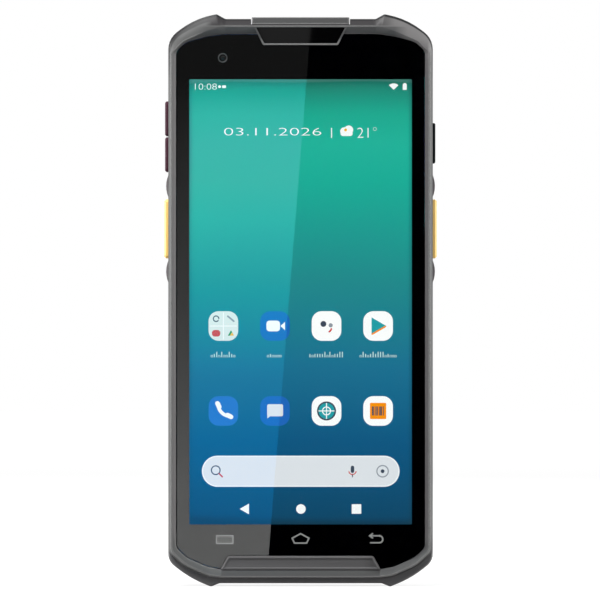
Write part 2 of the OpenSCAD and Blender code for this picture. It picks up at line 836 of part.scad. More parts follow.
// Two cans beside the rear camera and one between the screws
module board_shields() {
    gap = 3;
    camera_room = 3.7;
    screw_room = 3.5;
    x0 = rear_camera_x + rear_camera_half + camera_room;
    x2 = middle_screw.x - screw_room;
    x1 = x0 + 0.54 * (x2 - x0);
    l = main_y1 - main_y0;
    color([0.72, 0.72, 0.74]) {
        round_block(x0, x1, main_y0 + 0.16 * l, main_y0 + 0.63 * l, board_z - can_t, board_z, 0.8);
        round_block(x0, x1, main_y0 + 0.63 * l + gap, main_y0 + 0.93 * l,
            board_z - can_t, board_z, 0.8);
        round_block(x1 + gap, x2, main_y0 + 0.37 * l, main_y0 + 0.81 * l,
            board_z - can_t, board_z, 0.8);
    }
}

module sub_board() {
    color([0.05, 0.3, 0.15]) difference() {
        round_block(-sub_half, sub_half, sub_y0, sub_y1, board_z, board_z + board_t, 1);
        both_sides() rod(post_x, sub_post_y, board_z - 1, board_z + board_t + 1, post_hole_d);
    }
}

module usb_port() {
    y0 = usb_y;
    wall_t = 0.3;
    mid = board_z - usb_h / 2;
    color([0.75, 0.76, 0.78]) {
        difference() {
            end_block(-usb_w / 2, usb_w / 2, y0, y0 + usb_l, board_z - usb_h, board_z, 1.5);
            end_block(wall_t - usb_w / 2, usb_w / 2 - wall_t, y0 - 1, y0 + usb_l - 1.2,
                board_z - usb_h + wall_t, board_z - wall_t, 1.25);
        }
        block(-3.4, 3.4, y0 + 1, y0 + usb_l - 0.5, mid - 0.35, mid + 0.35);
    }
}

module board_flex() {
    color([0.75, 0.45, 0.1]) block(flex_x - flex_w / 2, flex_x + flex_w / 2,
        sub_y1 - flex_lap, main_y0 + flex_lap, board_z + board_t, board_z + board_t + flex_t);
}

module rear_camera() {
    low = board_z - rear_camera_t;
    color([0.1, 0.1, 0.12]) {
        square_block(rear_camera_x, rear_camera_y, rear_camera_half, low, board_z, 0.6);
        difference() {
            rod(rear_camera_x, rear_camera_y, window_seat + 0.7, low + 0.1, barrel_d);
            translate([rear_camera_x, rear_camera_y, window_seat + 0.7 - eps])
                cylinder(d1 = 4, d2 = 2.4, h = 1);
        }
    }
}

module camera_window() {
    color([0.05, 0.05, 0.08])
        rod(rear_camera_x, rear_camera_y, 0.3, window_seat, camera_d);
}

module flash_led() {
    flange_t = 0.7;
    color([0.9, 0.85, 0.6]) {
        rod(rear_camera_x, flash_y, 0.2, wall + 0.2, flash_d);
        rod(rear_camera_x, flash_y, wall, wall + flange_t, flash_d + 2);
        square_block(rear_camera_x, flash_y, flash_d / 2, wall + flange_t - 0.1,
            wall + flange_t + 1.1, 0.3);
    }
}

module loudspeaker() {
    color([0.15, 0.15, 0.16]) round_block(speaker_x - speaker_w / 2,
        speaker_x + speaker_w / 2, speaker_y - speaker_l / 2, speaker_y + speaker_l / 2,
        wall + mesh_t, wall + mesh_t + speaker_t, 1.5);
}

module speaker_mesh() {
    color([0.3, 0.3, 0.3]) round_block(speaker_x - speaker_w / 2 + 1,
        speaker_x + speaker_w / 2 - 1, speaker_y - speaker_l / 2 + 0.8,
        speaker_y + speaker_l / 2 - 0.8, wall, wall + mesh_t, 1);
}

module microphone() {
    color([0.8, 0.8, 0.7]) difference() {
        round_block(mic_x - mic_w / 2, mic_x + mic_w / 2, sub_y0 + 0.3, sub_y0 + 0.3 + mic_l,
            board_z - 1.1, board_z, 0.2);
        rod(mic_x, sub_y0 + 1.2, board_z - 1.2, board_z - 0.8, 0.6);
    }
}

module vibration_motor() {
    color([0.7, 0.7, 0.72])
        rod(-motor_x, (sub_y0 + sub_y1) / 2, board_z - motor_t, board_z, motor_d);
}

// ---------- battery ----------

module battery_connector() {
    pitch = 3.4;
    blade = 1.4;
    color([0.15, 0.15, 0.15]) {
        block(-connector_half, connector_half, bay_y1 + 0.3, main_y0 + 2.8,
            pack_z + 2, board_z);
        for (i = [-1.5:1.5])   // spring blades
            block(pitch * i - blade / 2, pitch * i + blade / 2, pack_y + pack_l, bay_y1 + 1,
                pack_z + 2.8, pack_z + 4.4);
    }
}

module battery_pack() {
    color([0.22, 0.22, 0.24]) difference() {
        intersection() {
            end_block(-pack_w / 2, pack_w / 2, pack_y, pack_y + pack_l, pack_z, bay_z, 1.2);
            slab(panel(pack_w / 2, pack_y, pack_y + pack_l, bay_r - slide), pack_z, bay_z);
        }
        // pull notch at the foot, and the seams of the two end caps
        round_block(-9, 9, pack_y - 1, pack_y + 1.6, pack_z - 1, pack_z + 2.2, 0.7);
        for (y = [pack_y + 6, pack_y + pack_l - 7])
            block(-pack_w, pack_w, y, y + 0.4, pack_z - 1, pack_z + 0.2);
    }
}

module battery_cover() {
    knob_room = 0.75;
    edge = 0.25;
    color([0.15, 0.15, 0.16]) difference() {
        union() {
            loft([ring(inset(door_line, edge), 0), ring(door_line, edge)]);
            slab(door_line, edge, door_t);
            // ribs that press on the pack
            for (y = [pack_y + 14, pack_y + pack_l / 2, pack_y + pack_l - 14])
                block(-bay_half + 3, bay_half - 3, y, y + 1.2, door_t - 0.1, pack_z - 0.1);
            both_sides() {
                block(tongue_x - tongue_w / 2, tongue_x + tongue_w / 2, hinge_y - 3,
                    hinge_y - 0.4, door_t - 0.1, wall + 1.3);
                block(tongue_x - tongue_w / 2, tongue_x + tongue_w / 2, hinge_y - 3,
                    hinge_y + 2.3, wall + 0.3, wall + 1.3);
            }
        }
        both_sides() {
            round_block(latch_x + 0.2, latch_x + 7.2 + latch_travel, latch_y - 1.75,
                latch_y + 1.75, -1, knob_room, 0.6);
            block(latch_x + 1.35, latch_x + 5.65 + latch_travel, latch_y - 1.15,
                latch_y + 1.15, 0, door_t + 1);
        }
    }
}

module cover_seal() {
    color([0.1, 0.1, 0.1]) bay_ring(seal_in, seal_in + seal_w, door_t, seal_z);
}

module cover_latch() {
    low = door_t + 0.15;
    color([0.75, 0.5, 0.1]) {
        block(latch_x, latch_x + latch_l, latch_y - 1.6, latch_y + 1.6, low, low + 0.9);
        block(latch_x + 1.5, latch_x + 5.5, latch_y - 1, latch_y + 1, 0.5, low + 0.1);
        difference() {
            round_block(latch_x + 0.5, latch_x + 6.9, latch_y - 1.5, latch_y + 1.5,
                0, 0.6, 0.5);
            for (i = [0:3])
                block(latch_x + 1.5 + 1.2 * i, latch_x + 2.1 + 1.2 * i, latch_y - 2,
                    latch_y + 2, -1, 0.2);
        }
    }
}

// ---------- side keys ----------

// A key on the right side: flange inside the wall, stem in the slot, crowned cap
module side_key(y0, l, w, out, travel, crown, tint) {
    base_x = switch_x + travel + 0.05;
    flange_x = inner_x - 0.2;
    top_x = half_w + out;
    color(tint) {
        side_block(base_x, flange_x, y0, y0 + l, key_z - w / 2 - key_flange,
            key_z + w / 2 + key_flange, 0.8);
        side_block(flange_x - 0.1, top_x - crown, y0, y0 + l, key_z - w / 2,
            key_z + w / 2, 1);
        hull() {
            side_block(top_x - crown - eps, top_x - crown, y0, y0 + l, key_z - w / 2,
                key_z + w / 2, 1);
            side_block(top_x - eps, top_x, y0 + crown, y0 + l - crown,
                key_z - w / 2 + crown, key_z + w / 2 - crown, 0.7);
        }
    }
}

key_tint = [0.12, 0.1, 0.11];
trigger_tint = [0.98, 0.72, 0.2];

module volume_down_key() {
    mirror([1, 0, 0]) side_key(volume_y, volume_l, key_w, volume_out, key_travel, 0.4, key_tint);
}

module volume_up_key() {
    mirror([1, 0, 0]) side_key(volume_y + volume_l + key_pair_gap, volume_l, key_w,
        volume_out, key_travel, 0.4, key_tint);
}

module power_key() {
    side_key(power_y, power_l, key_w, power_out, key_travel, 0.3, key_tint);
}

module trigger() {
    side_key(trigger_y, trigger_l, trigger_w, trigger_out, trigger_travel, 0.5, trigger_tint);
}

// A switch on the right side, centred at height y
module side_switch(y) {
    half = 1.7;
    button_d = 2;
    button_h = 0.6;
    color([0.8, 0.8, 0.8]) {
        block(switch_x - switch_h, switch_x - button_h + 0.1, y - half, y + half,
            key_z - half, key_z + half);
        translate([switch_x - button_h, y, key_z]) rotate([0, 90, 0])
            cylinder(d = button_d, h = button_h);
    }
}

module side_switches() {
    both_sides() side_switch(trigger_y + trigger_l / 2);
    side_switch(power_y + power_l / 2);
    mirror([1, 0, 0]) {
        side_switch(volume_y + volume_l / 2);
        side_switch(volume_y + 1.5 * volume_l + key_pair_gap);
    }
}

module side_flex() {
    x = switch_x - switch_h - flex_t;
    top = volume_y + volume_pair_l + 2;
    tail = board_z + board_t;
    color([0.75, 0.45, 0.1]) {
        block(x, x + flex_t, trigger_y + 3, top, key_z - 1.9, key_z + 1.9);
        block(x, x + flex_t, top - 1.6, top, key_z, tail + flex_t);
        block(middle_screw.x - 3.5, x + flex_t, top - 1.6, top, tail, tail + flex_t);
    }
}

// ---------- fasteners ----------

module housing_screw() {
    socket = 0.8;   // depth of the hexagon socket
    color([0.35, 0.35, 0.36]) difference() {
        union() {
            rod(0, 0, head_seat - head_h, head_seat, head_d);
            rod(0, 0, head_seat - 0.1, head_seat - 0.1 + screw_l, screw_d);
        }
        translate([0, 0, head_seat - head_h - 1]) cylinder(d = head_d / 2, h = 1 + socket, $fn = 6);
    }
}

module housing_screws() {
    for (p = screws, x = [-p.x, p.x]) translate([x, p.y, 0]) housing_screw();
}

// ---------- assembly ----------

upright() front_housing();
upright() bumper_frame();
upright() rear_housing();
upright() cover_glass();
upright() border_print();
upright() glass_tape();
upright() display_panel();
upright() tab_inlay();
upright() scan_bezel();
upright() scan_window();
upright() scan_engine();
upright() camera_ring();
upright() front_camera();
upright() receiver();
upright() mid_frame();
upright() main_board();
upright() board_shields();
upright() sub_board();
upright() usb_port();
upright() board_flex();
upright() rear_camera();
upright() camera_window();
upright() flash_led();
upright() loudspeaker();
upright() speaker_mesh();
upright() microphone();
upright() vibration_motor();
upright() battery_connector();
upright() battery_pack();
upright() battery_cover();
upright() cover_seal();
upright() mirror([1, 0, 0]) cover_latch();  // cover_latch_left
upright() cover_latch();  // cover_latch_right
upright() volume_up_key();
upright() volume_down_key();
upright() power_key();
upright() mirror([1, 0, 0]) trigger();  // left_trigger
upright() trigger();  // right_trigger
upright() mirror([1, 0, 0]) side_flex();  // side_flex_left
upright() side_flex();  // side_flex_right
upright() side_switches();
upright() housing_screws();
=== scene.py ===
import json
import math

import bmesh
import bpy
from mathutils import Matrix, Vector


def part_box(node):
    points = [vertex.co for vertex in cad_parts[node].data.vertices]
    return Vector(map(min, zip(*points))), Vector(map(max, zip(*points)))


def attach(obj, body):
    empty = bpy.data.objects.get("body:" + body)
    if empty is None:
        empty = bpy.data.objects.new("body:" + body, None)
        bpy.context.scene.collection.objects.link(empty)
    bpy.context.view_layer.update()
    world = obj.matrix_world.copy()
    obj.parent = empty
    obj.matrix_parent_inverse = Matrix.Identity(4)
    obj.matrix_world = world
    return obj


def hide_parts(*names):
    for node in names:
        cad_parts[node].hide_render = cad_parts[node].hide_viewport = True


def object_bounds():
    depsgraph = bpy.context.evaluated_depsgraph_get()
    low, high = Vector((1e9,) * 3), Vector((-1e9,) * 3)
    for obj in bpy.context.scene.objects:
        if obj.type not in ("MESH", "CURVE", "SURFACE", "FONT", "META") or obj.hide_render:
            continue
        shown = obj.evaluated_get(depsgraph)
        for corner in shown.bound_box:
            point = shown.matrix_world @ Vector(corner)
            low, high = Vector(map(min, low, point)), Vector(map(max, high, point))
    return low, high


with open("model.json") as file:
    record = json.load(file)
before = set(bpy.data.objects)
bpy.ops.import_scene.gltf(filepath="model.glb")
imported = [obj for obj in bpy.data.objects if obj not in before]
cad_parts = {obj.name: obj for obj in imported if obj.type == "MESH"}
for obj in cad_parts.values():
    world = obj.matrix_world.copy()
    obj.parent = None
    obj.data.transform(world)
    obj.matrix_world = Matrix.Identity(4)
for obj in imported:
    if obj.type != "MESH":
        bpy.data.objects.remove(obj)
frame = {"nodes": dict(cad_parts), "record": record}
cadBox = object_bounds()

scene = bpy.context.scene
scene.view_settings.view_transform = "Standard"
mm = 0.001
middleZ = (cadBox[0].z + cadBox[1].z) / 2
handset = "handset"
upright = (math.pi / 2, 0, 0)       # stands a flat shape up, facing the front


# small helpers
def newObject(name, data):
    made = bpy.data.objects.new(name, data)
    scene.collection.objects.link(made)
    return made

def sheetMesh(name, groups):
    # flat faces; groups: [(material, [corners of a face, ...])]
    points, faces, marks, used = [], [], [], []
    for material, shapes in groups:
        if material not in used:
            used.append(material)
        for shape in shapes:
            faces.append(tuple(range(len(points), len(points) + len(shape))))
            points += shape
            marks.append(used.index(material))
    mesh = bpy.data.meshes.new(name)
    mesh.from_pydata(points, [], faces)
    for material in used:
        mesh.materials.append(material)
    for face, mark in zip(mesh.polygons, marks):
        face.material_index = mark
    return mesh

def setInputs(tree, node, inputs):
    # inputs: {name or number: value, socket or node}; a node stands for its first output
    for key, value in dict(inputs).items():
        socket = node.inputs[key]
        if isinstance(value, bpy.types.Node):
            value = value.outputs[0]
        if isinstance(value, bpy.types.NodeSocket):
            tree.links.new(value, socket)
        else:
            socket.default_value = (*value, 1.0) if socket.type == "RGBA" and len(value) == 3 else value
    return node

def addNode(tree, kind, inputs=(), **settings):
    node = tree.nodes.new(kind)
    for key, value in settings.items():
        setattr(node, key, value)
    return setInputs(tree, node, inputs)

def calc(tree, operation, *values, **settings):
    return addNode(tree, "ShaderNodeMath", enumerate(values), operation=operation, **settings)

def plus(tree, *values):
    return calc(tree, "ADD", *values)

def minus(tree, *values):
    return calc(tree, "SUBTRACT", *values)

def times(tree, *values):
    return calc(tree, "MULTIPLY", *values)

def vectorCalc(tree, operation, *values):
    return addNode(tree, "ShaderNodeVectorMath", enumerate(values), operation=operation)

def scaled(tree, colour, share):
    node = vectorCalc(tree, "SCALE", colour)
    return setInputs(tree, node, {"Scale": share})

def remap(tree, value, fromLow=0.0, fromHigh=1.0, toLow=0.0, toHigh=1.0):
    return addNode(tree, "ShaderNodeMapRange", {"Value": value, "From Min": fromLow, "From Max": fromHigh,
        "To Min": toLow, "To Max": toHigh})

def rampNode(tree, share, stops, interpolation="LINEAR"):
    # stops: [(position, colour)], from low to high
    node = addNode(tree, "ShaderNodeValToRGB", {0: share})
    ramp = node.color_ramp
    ramp.interpolation = interpolation
    ramp.elements.remove(ramp.elements[1])
    ramp.elements[0].position = stops[0][0]
    ramp.elements[0].color = (*stops[0][1], 1)
    for position, colour in stops[1:]:
        ramp.elements.new(position).color = (*colour, 1)
    return node

def objectPlace(tree):
    return addNode(tree, "ShaderNodeTexCoord").outputs["Object"]

def splitPlace(tree, place=None):
    return addNode(tree, "ShaderNodeSeparateXYZ", {0: place or objectPlace(tree)}).outputs

def emptyTree(owner):
    owner.use_nodes = True
    owner.node_tree.nodes.clear()
    return owner.node_tree

def startMaterial(name):
    material = bpy.data.materials.new(name)
    return material, emptyTree(material)


# camera, lamps, floor
cameraSetup = {
    "lens": 400.0,            # long lens, so the sides hardly show
    "sensor": 36.0,
    "frameHeight": 173.94,    # what the frame covers at the object, in mm
    "asideX": -0.16,
    "asideZ": 0.08,
    "clipStart": 0.05,
    "clipEnd": 20.0,
}

def makeCamera(p):
    data = bpy.data.cameras.new("camera")
    data.lens, data.sensor_width = p["lens"], p["sensor"]
    data.clip_start, data.clip_end = p["clipStart"], p["clipEnd"]
    camera = newObject("camera", data)
    distance = p["frameHeight"] * mm * p["lens"] / p["sensor"]
    camera.location = (p["asideX"] * mm, -distance, middleZ + p["asideZ"] * mm)
    camera.rotation_euler = upright
    scene.camera = camera

makeCamera(cameraSetup)
print("camera ready")


worldSetup = {"fill": 0.16, "colour": (1.0, 1.0, 1.0)}

def seenDirectly(tree):
    # 1 for rays that look at a surface themselves: camera, mirror and glass rays
    path = addNode(tree, "ShaderNodeLightPath").outputs
    first = calc(tree, "MAXIMUM", path["Is Camera Ray"], path["Is Glossy Ray"])
    return calc(tree, "MAXIMUM", first, path["Is Transmission Ray"])

def makeWorld(p):
    world = bpy.data.worlds.new("studio")
    tree = emptyTree(world)
    fill = addNode(tree, "ShaderNodeBackground", {"Color": p["colour"], "Strength": p["fill"]})
    white = addNode(tree, "ShaderNodeBackground", {"Color": p["colour"], "Strength": 1.0})
    mix = addNode(tree, "ShaderNodeMixShader", {0: seenDirectly(tree), 1: fill, 2: white})
    addNode(tree, "ShaderNodeOutputWorld", {"Surface": mix})
    scene.world = world

makeWorld(worldSetup)

lampSetup = [
    {"name": "keyLamp", "place": (-0.3, -0.5, 0.95), "size": 0.45, "power": 10.5},
    {"name": "fillLamp", "place": (0.6, -0.75, 0.5), "size": 0.6, "power": 1.1},
    {"name": "sideLeft", "place": (-0.7, 0.0, 0.14), "size": 0.45, "power": 6.0},
    {"name": "sideRight", "place": (0.7, 0.0, 0.14), "size": 0.45, "power": 5.6},
    {"name": "backLamp", "place": (0.15, 0.8, 0.6), "size": 0.6, "power": 4.5},
]

def makeLamp(p):
    data = bpy.data.lights.new(p["name"], "AREA")
    data.shape = "DISK"
    data.size = p["size"]
    data.energy = p["power"]
    lamp = newObject(p["name"], data)
    lamp.location = p["place"]
    aim = Vector((0, 0, middleZ)) - Vector(p["place"])
    lamp.rotation_euler = aim.to_track_quat("-Z", "Y").to_euler()

for lamp in lampSetup:
    makeLamp(lamp)


# The floor reflects little, so undersides stay dark, and its own light makes it white.
# What the lamps give less of further out, its own light makes up for.
floorSetup = {"half": 3.0, "colour": (0.28, 0.28, 0.28), "nearLight": 0.78, "farLight": 0.96,
    "near": 0.35, "far": 1.6}

def makeFloor(p):
    material, tree = startMaterial("paleFloor")
    matt = addNode(tree, "ShaderNodeBsdfDiffuse", {"Color": p["colour"]})
    reach = vectorCalc(tree, "LENGTH", objectPlace(tree)).outputs["Value"]
    level = remap(tree, reach, p["near"], p["far"], p["nearLight"], p["farLight"])
    glow = addNode(tree, "ShaderNodeEmission", {"Strength": times(tree, seenDirectly(tree), level)})
    total = addNode(tree, "ShaderNodeAddShader", {0: matt, 1: glow})
    addNode(tree, "ShaderNodeOutputMaterial", {"Surface": total})
    h = p["half"]
    corners = [(-h, -h, 0), (h, -h, 0), (h, h, 0), (-h, h, 0)]
    newObject("floor", sheetMesh("floor", [(material, [corners])]))

makeFloor(floorSetup)

# A dark card with one bright slanted part stands before the screen. Only rays that
# a mirror or the glass sends on see it: it makes the slanted sheen and lights nothing.
# Its middle is tinted, so the sheen keeps the wallpaper's colour and greys the border.
cardSetup = {
    "distance": 80.0,         # in front of the glass, in mm
    "halfWidth": 42.0, "low": -2.0, "high": 170.0,
    # the slanted edge as it lies on the glass: x at two heights, in mm
    "edgeTopX": 2.23, "edgeTopZ": 152.4,
    "edgeLowX": -8.92, "edgeLowZ": 13.0,
    "screenHalf": 32.15, "screenLow": 17.9, "screenHigh": 146.5,
    # a part of its own for the gloss tab over the screen: half width and height of its ends
    "tabLow": (10.3, 156.8), "tabHigh": (13.2, 162.4), "tabGrey": 0.34, "tabForward": 1.0,
    # brightness over the border by height in mm, and the tint over the screen
    "border": [(13, 1.3), (31, 1.17), (57, 0.78), (84, 0.5), (111, 0.31), (147, 0.08)],
    "tint": [(17.9, (0.0, 0.42, 1.3)), (42, (0.0, 0.6, 1.5)), (60, (0.04, 0.52, 1.07)),
        (85, (0.0, 1.3, 1.5)), (106, (0.24, 1.55, 1.62)), (117, (0.45, 0.85, 1.28)),
        (128, (0.4, 0.4, 1.15)), (137, (0.27, 1.05, 1.5)), (143, (0.03, 1.6, 1.6)),
        (146.5, (0.08, 1.25, 1.27))],
    "dark": (0.0, 0.0, 0.001),
}

def cardPlace(x, z):
    # where the card lies in the mirror image of a point of the glass
    camera, glass = scene.camera.location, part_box("cover_glass")[0].y
    share = 1 + cardSetup["distance"] * mm / (glass - camera.y)
    return (camera.x + (x * mm - camera.x) * share, camera.z + (z * mm - camera.z) * share)

def cardMaterial(name, stops):
    # emission by height; stops: (height in mm on the glass, colour)
    material, tree = startMaterial(name)
    low, high = stops[0][0], stops[-1][0]
    peak = max(max(colour) for height, colour in stops)
    share = remap(tree, splitPlace(tree)["Z"], cardPlace(0, low)[1], cardPlace(0, high)[1])
    ramp = rampNode(tree, share, [((height - low) / (high - low), tuple(c / peak for c in colour))
        for height, colour in stops])
    glow = addNode(tree, "ShaderNodeEmission", {"Color": ramp, "Strength": peak})
    addNode(tree, "ShaderNodeOutputMaterial", {"Surface": glow})
    return material

def evenCard(name, colour):
    return cardMaterial(name, [(0, colour), (100, colour)])

def stageCard(name, groups):
    # only mirror and glass rays see it
    card = newObject(name, sheetMesh(name, groups))
    card.visible_camera = False
    card.visible_diffuse = False
    card.visible_shadow = False

def makeCard(p):
    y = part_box("cover_glass")[0].y - p["distance"] * mm
    slope = (p["edgeTopX"] - p["edgeLowX"]) / (p["edgeTopZ"] - p["edgeLowZ"])
    def edge(z):
        return p["edgeLowX"] + slope * (z - p["edgeLowZ"])
    def face(corners, forward=0.0):
        return [(x, y + forward * mm, z) for x, z in (cardPlace(*corner) for corner in corners)]
    w, side = p["halfWidth"], p["screenHalf"]
    low, high, foot, head = p["low"], p["high"], p["screenLow"], p["screenHigh"]
    (tabLowX, tabFoot), (tabHighX, tabHead) = p["tabLow"], p["tabHigh"]
    bright = cardMaterial("cardBright", [(height, (value,) * 3) for height, value in p["border"]])
    stageCard("sheenCard", [
        # strips beside, under and over the screen, the screen's own part, the dark rest, the tab
        (bright, [face([(-w, low), (-side, low), (-side, high), (-w, high)]),
            face([(-side, low), (edge(low), low), (edge(foot), foot), (-side, foot)]),
            face([(-side, head), (edge(head), head), (edge(high), high), (-side, high)])]),
        (cardMaterial("cardTint", p["tint"]),
            [face([(-side, foot), (edge(foot), foot), (edge(head), head), (-side, head)])]),
        (evenCard("cardDark", p["dark"]),
            [face([(edge(low), low), (w, low), (w, high), (edge(high), high)])]),
        (evenCard("cardTab", (p["tabGrey"],) * 3), [face([(-tabLowX, tabFoot), (edge(tabFoot), tabFoot),
            (edge(tabHead), tabHead), (-tabHighX, tabHead)], p["tabForward"])]),
    ])

makeCard(cardSetup)

# A dark flag lies on the floor before the screen, so the glass stays black in slanting views too
flagSetup = {"left": -900.0, "right": 900.0, "front": -900.0, "back": -12.0, "lift": 0.4}

def makeFlag(p):
    left, right, front, back, up = (p[k] * mm for k in ("left", "right", "front", "back", "lift"))
    corners = [(left, front, up), (right, front, up), (right, back, up), (left, back, up)]
    stageCard("darkFlag", [(evenCard("flagDark", cardSetup["dark"]), [corners])])

makeFlag(flagSetup)
print("lamps, floor and card ready")


# shared surface effects
socketKinds = {float: "Float", int: "Int", tuple: "Color"}

def newGroup(kind, name, inputs, results):
    # a node group; inputs: {label: first value or socket kind}, results: {label: socket kind}
    group = bpy.data.node_groups.new(name, kind)
    for label, value in inputs.items():
        plain = type(value) in socketKinds
        socket = group.interface.new_socket(label, in_out="INPUT",
            socket_type="NodeSocket" + (socketKinds[type(value)] if plain else value))
        if plain:
            socket.default_value = value
    for label, socketKind in results.items():
        group.interface.new_socket(label, in_out="OUTPUT", socket_type="NodeSocket" + socketKind)
    return group, addNode(group, "NodeGroupInput").outputs, addNode(group, "NodeGroupOutput")

def mixColour(tree, share, first, second):
    return addNode(tree, "ShaderNodeMix", {0: share, 6: first, 7: second}, data_type="RGBA").outputs[2]

def noiseNode(tree, scale, detail=2.0, rough=0.5, place=None):
    return addNode(tree, "ShaderNodeTexNoise", {"Vector": place or objectPlace(tree), "Scale": scale,
        "Detail": detail, "Roughness": rough}).outputs["Fac"]

def bumpNode(tree, height, strength, distance):
    return addNode(tree, "ShaderNodeBump", {"Height": height, "Strength": strength, "Distance": distance})

def makeGrain():
    # spark-eroded grain of moulded plastic, with faint clouding of its tone
    group, given, made = newGroup("ShaderNodeTree", "mouldedGrain", {"Grain Size": 2600.0, "Cloud Size": 60.0,
        "Cloud": 0.06, "Speck": 1.6, "Roughness": 0.5, "Spread": 0.08, "Colour": (0.2, 0.2, 0.2, 1)},
        {"Colour": "Color", "Roughness": "Float", "Height": "Float"})
    fine = noiseNode(group, given["Grain Size"], 3.0, 0.6)
    cloud = noiseNode(group, given["Cloud Size"], 4.0, 0.55)
    centred = minus(group, cloud, 0.5)
    swing = times(group, centred, given["Cloud"])
    speckSwing = times(group, minus(group, fine, 0.5),
        times(group, given["Cloud"], given["Speck"]))
    total = plus(group, 1.0, plus(group, swing, speckSwing))
    roughSwing = times(group, centred, given["Spread"])
    setInputs(group, made, {"Colour": scaled(group, given["Colour"], total),
        "Roughness": plus(group, given["Roughness"], roughSwing), "Height": fine})
    return group

def makeEdgeWearAndHighlight():
    # how far a point lies on a rounded outer edge, broken up by noise; on most finishes this is wear, on the
    # grey housing and the scan block a painted highlight
    group, given, made = newGroup("ShaderNodeTree", "edgeWearAndHighlight", {"Radius": 0.0004, "Strength": 1.0,
        "Reach": 16.0, "Break Size": 900.0, "Break Start": 0.35, "Break Width": 0.3}, {"Mask": "Float"})
    bevel = addNode(group, "ShaderNodeBevel", {"Radius": given["Radius"]}, samples=4)
    normal = addNode(group, "ShaderNodeNewGeometry").outputs["Normal"]
    turn = vectorCalc(group, "DOT_PRODUCT", bevel, normal).outputs["Value"]
    edge = times(group, minus(group, 1.0, turn), given["Reach"])
    breakEnd = plus(group, given["Break Start"], given["Break Width"])
    cut = remap(group, noiseNode(group, given["Break Size"], 3.0, 0.7), given["Break Start"], breakEnd)
    part = times(group, edge, cut)
    setInputs(group, made, {"Mask": calc(group, "MULTIPLY", part, given["Strength"], use_clamp=True)})
    return group

def makeDust():
    # thin dust that gathers in corners
    group, given, made = newGroup("ShaderNodeTree", "fineDust", {"Amount": 0.15, "Reach": 0.0015,
        "Patch Size": 120.0}, {"Mask": "Float"})
    hollow = addNode(group, "ShaderNodeAmbientOcclusion", {"Distance": given["Reach"]}, samples=4)
    closed = minus(group, 1.0, hollow.outputs["AO"])
    part = times(group, closed, noiseNode(group, given["Patch Size"], 4.0, 0.65))
    setInputs(group, made, {"Mask": calc(group, "MULTIPLY", part, given["Amount"], use_clamp=True)})
    return group

grainGroup = makeGrain()
wearAndHighlightGroup = makeEdgeWearAndHighlight()
dustGroup = makeDust()


# materials
def endMaterial(tree, inputs):
    shader = addNode(tree, "ShaderNodeBsdfPrincipled", inputs)
    addNode(tree, "ShaderNodeOutputMaterial", {"Surface": shader})

def groupNode(tree, group, values):
    return addNode(tree, "ShaderNodeGroup", values.items(), node_tree=group)

def zoneMask(tree, tests):
    # 1 where every test holds; a test is (axis, from, to) in mm:
    # X counts both ways from the middle, side only to the right
    mask = None
    place = splitPlace(tree)
    for axis, start, end in tests:
        value = place["X" if axis == "side" else axis]
        if axis == "X":
            value = calc(tree, "ABSOLUTE", value)
        step = remap(tree, value, start * mm, end * mm)
        mask = times(tree, mask, step) if mask else step
    return mask

plainPlastic = {"gloss": 0.4, "grain": 2600.0, "cloud": 0.06, "spread": 0.1, "bump": 0.15,
    "bumpDepth": 0.00004, "wearAndHighlight": 0.0, "wearAndHighlightRadius": 0.0004, "wearAndHighlightStart": 0.35, "dust": 0.0, "zones": []}
dustColour = (0.32, 0.31, 0.29)

def mouldedPlastic(name, own):
    # grained plastic with dust and lighter edges, worn on most finishes and a painted highlight on the grey
    # housing and the scan block; zones get tones of their own, most of them painted light and shade
    p = {**plainPlastic, **own}
    material, tree = startMaterial(name)
    grain = groupNode(tree, grainGroup, {"Grain Size": p["grain"], "Cloud": p["cloud"], "Spread": p["spread"],
        "Roughness": p["rough"], "Colour": (*p["colour"], 1)})
    colour = grain.outputs["Colour"]
    if p["wearAndHighlight"]:
        wearAndHighlight = groupNode(tree, wearAndHighlightGroup, {"Strength": p["wearAndHighlight"], "Radius": p["wearAndHighlightRadius"],
            "Break Start": p["wearAndHighlightStart"]})
        colour = mixColour(tree, wearAndHighlight, colour, p["wearAndHighlightColour"])
    if p["dust"]:
        colour = mixColour(tree, groupNode(tree, dustGroup, {"Amount": p["dust"]}), colour, dustColour)
    # zone tones laid over the colour, most of them painted light and shade
    for tests, tone in p["zones"]:
        colour = mixColour(tree, zoneMask(tree, tests), colour, tone)
    endMaterial(tree, {"Base Color": colour, "Roughness": grain.outputs["Roughness"],
        "Normal": bumpNode(tree, grain.outputs["Height"], p["bump"], p["bumpDepth"]),
        "Specular IOR Level": p["gloss"]})
    return material

plainMetal = {"streaks": (80.0, 80.0, 2600.0), "darkShare": 0.82, "spread": 0.08, "bump": 0.08,
    "bumpDepth": 0.00003}

def brushedMetal(name, own):
    # fine streaks along one axis
    p = {**plainMetal, **own}
    material, tree = startMaterial(name)
    place = addNode(tree, "ShaderNodeMapping", {"Vector": objectPlace(tree), "Scale": p["streaks"]})
    streak = noiseNode(tree, 1.0, 3.0, place=place)
    dark = tuple(c * p["darkShare"] for c in p["colour"])
    endMaterial(tree, {"Base Color": mixColour(tree, streak, dark, p["colour"]), "Metallic": 1.0,
        "Roughness": remap(tree, streak, toLow=p["rough"] - p["spread"], toHigh=p["rough"] + p["spread"]),
        "Normal": bumpNode(tree, streak, p["bump"], p["bumpDepth"])})
    return material
